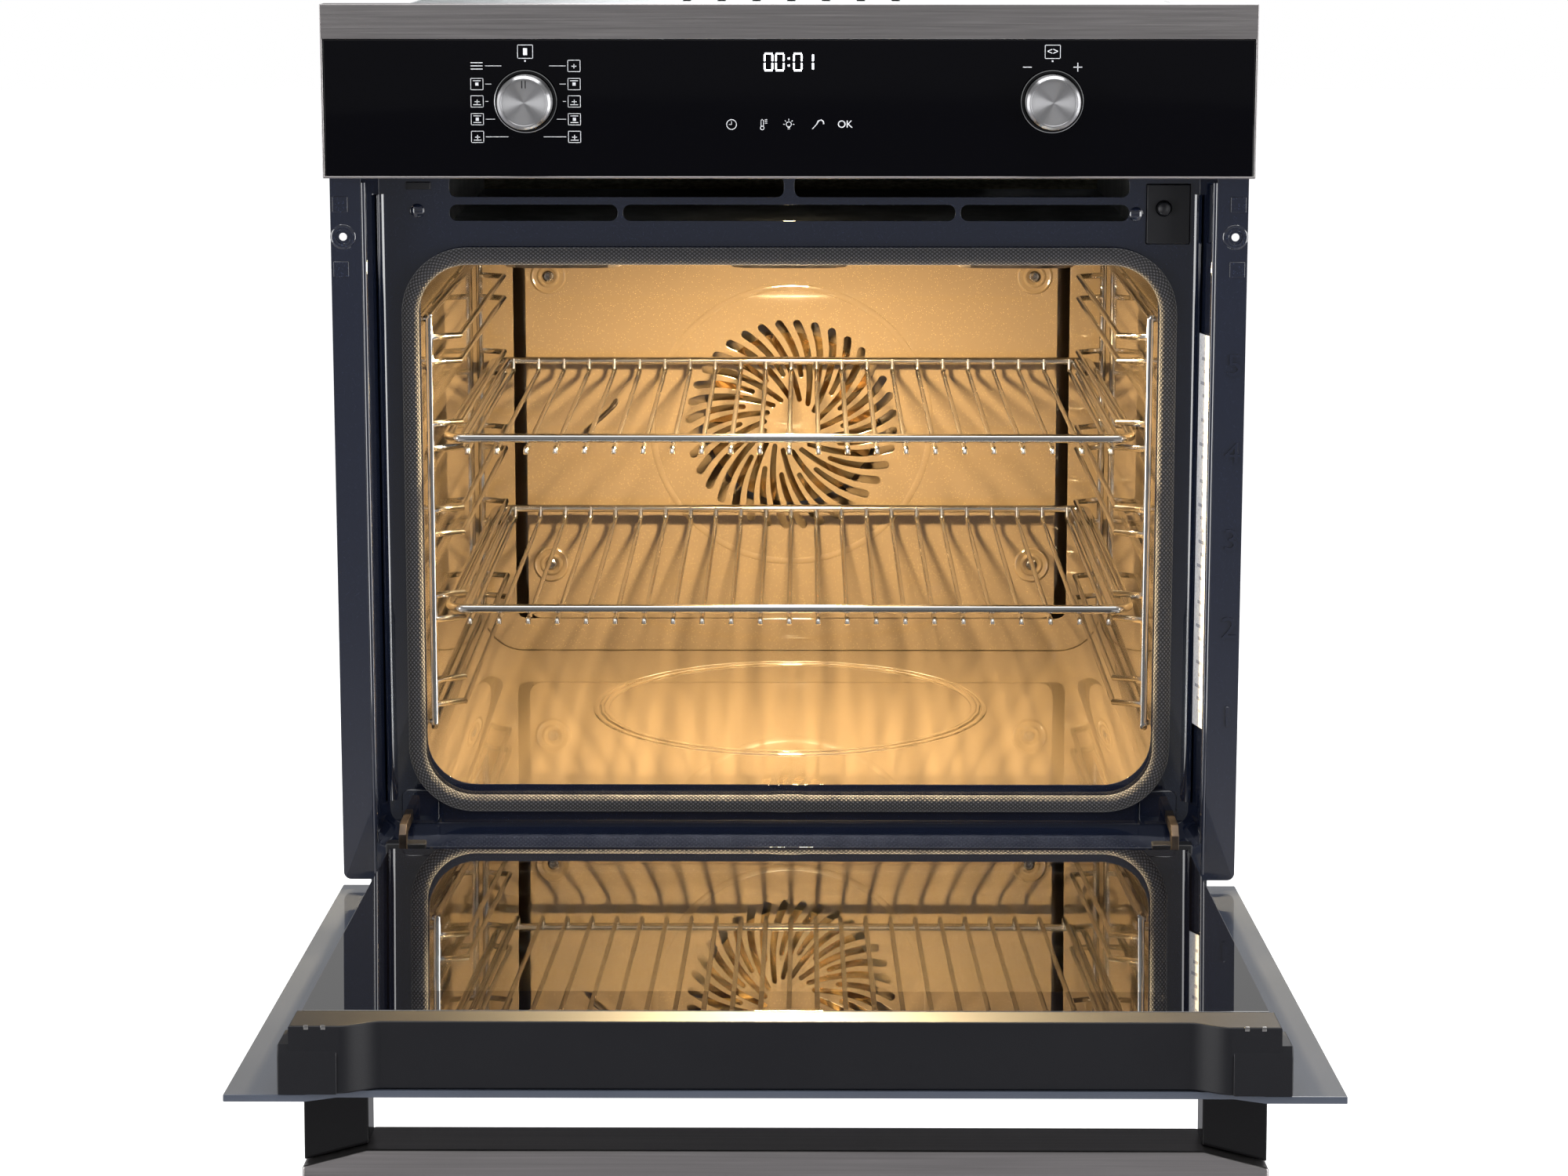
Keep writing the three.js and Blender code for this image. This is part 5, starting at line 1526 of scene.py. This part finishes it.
class OVEN_OT_door_glass(OvenOperator, bpy.types.Operator):
    """Cuts the door's three panes, with ground edges and printed borders"""

    bl_idname = "oven.door_glass"
    bl_label = "Door Glass"

    def execute(self, context):
        sizes = context.scene.oven_sizes
        for node, finish in (
            ("door_outer_glass", "outer_pane"),
            ("door_middle_glass", "middle_pane"),
            ("door_inner_glass", "inner_pane"),
        ):
            pane = refit(
                node, f"{node}_ground", sizes.glass_edge, "door", "clear_glass", finish, segments=2
            )
            # The outer pane's outer face is printed black.
            if node == "door_outer_glass":
                pane.data.materials.append(finishes["black_glass"])
                for face in pane.data.polygons:
                    face.material_index = int(face.normal.z < -0.9)
        return {"FINISHED"}


class OVEN_OT_door_frame(OvenOperator, bpy.types.Operator):
    """Moulds and presses the pieces that hold the door's panes"""

    bl_idname = "oven.door_frame"
    bl_label = "Door Frame"

    def cap(self):
        """The cap along the door's top: a beam that curves out to a proud block at each end."""
        low, top, beam_top = 450.6, 481.6, 472.1
        back, front = 4.4, 41.2
        curve = [
            (236 - 22 * t, top - (top - beam_top) * (3 * t**2 - 2 * t**3)) for t in
            (i / 12 for i in range(13))
        ]
        right = [(262, low), (262, top)] + curve
        outline = right + [(-x, z) for x, z in reversed(right)]
        pieces = [sheet("cap_beam", [outline], "y", back, front, 1.1, 3)]
        for _, side in SIDES:
            profile = [(back, low + 2), (back, 482.6), (24.6, 482.6), (31.0, 480.4), (31.0, low + 2)]
            ends = sorted((236.5 * side, 268 * side))
            pieces.append(sheet("cap_ear", [profile], "x", *ends, 0.8, 3))
        cap = opened(joined("door_cap_moulded", pieces))
        done(cap, "door", "black_plastic", "door_moulding", instead=["door_top_cap"])
        clips = [
            block("clip", sorted(((x - 1.3) * side, (x + 1.3) * side)), (39.2, 41.6), (480.6, 481.9), 0.3, 2)
            for _, side in SIDES
            for x in (243.5, 252.5)
        ]
        done(opened(joined("cap_clips", clips)), "door", "chrome")

    def execute(self, context):
        edge = context.scene.oven_sizes.edge
        self.cap()
        for node in ("door_column_left", "door_column_right", "door_bottom_rail"):
            refit(node, f"{node}_formed", edge * 0.8, "door", "black_plastic", "door_moulding")
        for node in ("hinge_case_left", "hinge_case_right"):
            refit(node, f"{node}_pressed", edge * 0.6, "door", "galvanised")
        for node in ("hinge_arm_left", "hinge_arm_right"):
            refit(node, f"{node}_stamped", edge * 0.5, "chassis", "galvanised", "blued_steel")
        for label, side in SIDES:
            cover = block(f"hinge_cover_{label}", sorted((241 * side, 268 * side)), (19, 31), (33, 40.5), 1.2)
            done(cover, "chassis", "black_plastic")
        return {"FINISHED"}


class OVEN_OT_handle(OvenOperator, bpy.types.Operator):
    """Forms the brushed handle and its gloss brackets"""

    bl_idname = "oven.handle"
    bl_label = "Handle"

    def execute(self, context):
        edge = context.scene.oven_sizes.edge
        refit("handle_bar", "handle_bar_formed", edge * 1.8, "door", "brushed_steel", segments=4)
        for label, _ in SIDES:
            node = f"handle_bracket_{label}"
            refit(node, f"{node}_moulded", edge * 1.2, "door", "gloss_plastic", segments=4)
        return {"FINISHED"}


# ---- Casing and inner works ----


class OVEN_OT_casing(OvenOperator, bpy.types.Operator):
    """Folds the galvanised casing and moulds the terminal box"""

    bl_idname = "oven.casing"
    bl_label = "Casing"

    def execute(self, context):
        edge = context.scene.oven_sizes.edge
        for node in ("base_plate", "left_side_panel", "right_side_panel", "top_cover", "rear_panel"):
            refit(node, f"{node}_folded", edge * 0.5, "chassis", "galvanised", segments=2)
        refit("terminal_box", "terminal_box_moulded", edge, "chassis", "black_plastic")
        return {"FINISHED"}


INNER_FINISHES = {
    "fascia_carrier": "black_plastic",
    "control_board": "circuit_board",
    "function_switch": "black_plastic",
    "setting_encoder": "black_plastic",
    "insulation_blanket": "mineral_wool",
    "lamp_holder": "galvanised",
    # The impeller's gold is painted lamp light: the lamp's warm glow painted into the colour of its steel.
    "fan_impeller": "impeller_painted_lamp_gold",
    "fan_motor": "motor_steel",
    "ring_heater": "heater_steel",
    "grill_element": "heater_steel",
    "base_element": "heater_steel",
    "air_duct": "galvanised",
    "blower_housing": "galvanised",
    "blower_rotor": "black_plastic",
    "blower_motor": "motor_steel",
    "hinge_receiver_left": "galvanised",
    "hinge_receiver_right": "galvanised",
}


class OVEN_OT_inner_works(OvenOperator, bpy.types.Operator):
    """Gives the pieces inside the casing their finishes"""

    bl_idname = "oven.inner_works"
    bl_label = "Inner Works"

    def execute(self, context):
        for node, finish in INNER_FINISHES.items():
            wear(frame["nodes"][node], finish)
        return {"FINISHED"}


class OVEN_OT_finishes(OvenOperator, bpy.types.Operator):
    """Mixes every finish that the pieces wear"""

    bl_idname = "oven.finishes"
    bl_label = "Finishes"

    def execute(self, context):
        low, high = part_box("door_inner_glass")
        middle = (low + high) / 2
        half_x = (high.x - low.x) / 2 - 0.052
        half_y = (high.y - low.y) / 2 - 0.040
        finishes.update(plain_finishes())
        finishes.update(
            {
                "cavity_enamel": cavity_enamel(),
                "function_metal": turned_metal("aluminium_faced_left", "#C4C4C6", "function_knob"),
                "setting_metal": turned_metal("aluminium_faced_right", "#C4C4C6", "setting_knob"),
                "blued_steel": sheathed("spring_steel_blued"),
                # Steel painted gold for the fan impeller: painted lamp light, the warm glow of the lamp on
                # it.
                "impeller_painted_lamp_gold": plated("steel_painted_lamp_gold", "#D9AE6C"),
                "grey_print": screen_print("ceramic_ink_grey", "#80869A"),
                "knob_ring": plated("chrome_plated_ring", "#C8CACC"),
                "door_moulding": moulded("polybutylene_black_fine", "#090A12", 0.46, 0.4, 0.0007),
                "glass_fibre": knitted("glass_fibre_knitted"),
                "mineral_wool": fibrous("mineral_wool"),
                "heater_steel": sheathed("incoloy_sheath"),
                "motor_steel": lacquered("motor_laminations"),
                "circuit_board": circuit_board("epoxy_board"),
                "lamp_glow": glowing("lamp_capsule", "#FFD9A0", 30.0),
                "display_light": glowing("display_segments", "#F4F8FF", 4.0),
                "white_print": screen_print("ceramic_ink_white", "#E9EBF0"),
                "label_film": screen_print("polyester_label", "#DDE0E6"),
                "clear_glass": door_pane("float_glass_clear", None),
                "middle_pane": door_pane("low_e_glass_middle", None),
                "outer_pane": grey_pane("float_glass_painted_reflection"),
                "inner_pane": door_pane("low_e_glass_inner", (middle, half_x, half_y)),
            }
        )
        return {"FINISHED"}


# ---- Panel and registration ----

STEPS = (
    OVEN_OT_finishes,
    OVEN_OT_stage,
    OVEN_OT_front_frame,
    OVEN_OT_gasket,
    OVEN_OT_cavity,
    OVEN_OT_fan_cover,
    OVEN_OT_racks,
    OVEN_OT_shelves,
    OVEN_OT_lamp,
    OVEN_OT_fascia,
    OVEN_OT_knobs,
    OVEN_OT_door_switch,
    OVEN_OT_door_glass,
    OVEN_OT_door_frame,
    OVEN_OT_handle,
    OVEN_OT_casing,
    OVEN_OT_inner_works,
)


class OVEN_PT_pieces(bpy.types.Panel):
    """Lists the oven's pieces and sizes"""

    bl_label = "Wall Oven"
    bl_idname = "OVEN_PT_pieces"
    bl_space_type = "VIEW_3D"
    bl_region_type = "UI"
    bl_category = "Oven"

    def draw(self, context):
        for group in (context.scene.oven_sizes, context.scene.oven_colours):
            for name in group.__annotations__:
                self.layout.prop(group, name)
        for step in STEPS:
            self.layout.operator(step.bl_idname)


CLASSES = (OvenSizes, OvenColours, *STEPS, OVEN_PT_pieces)


def register():
    for cls in CLASSES:
        bpy.utils.register_class(cls)
    bpy.types.Scene.oven_sizes = PointerProperty(type=OvenSizes)
    bpy.types.Scene.oven_colours = PointerProperty(type=OvenColours)


def unregister():
    del bpy.types.Scene.oven_sizes
    del bpy.types.Scene.oven_colours
    for cls in reversed(CLASSES):
        bpy.utils.unregister_class(cls)


def main():
    register()
    for step in STEPS:
        group, name = step.bl_idname.split(".")
        getattr(getattr(bpy.ops, group), name)()


if __name__ == "__main__":
    main()
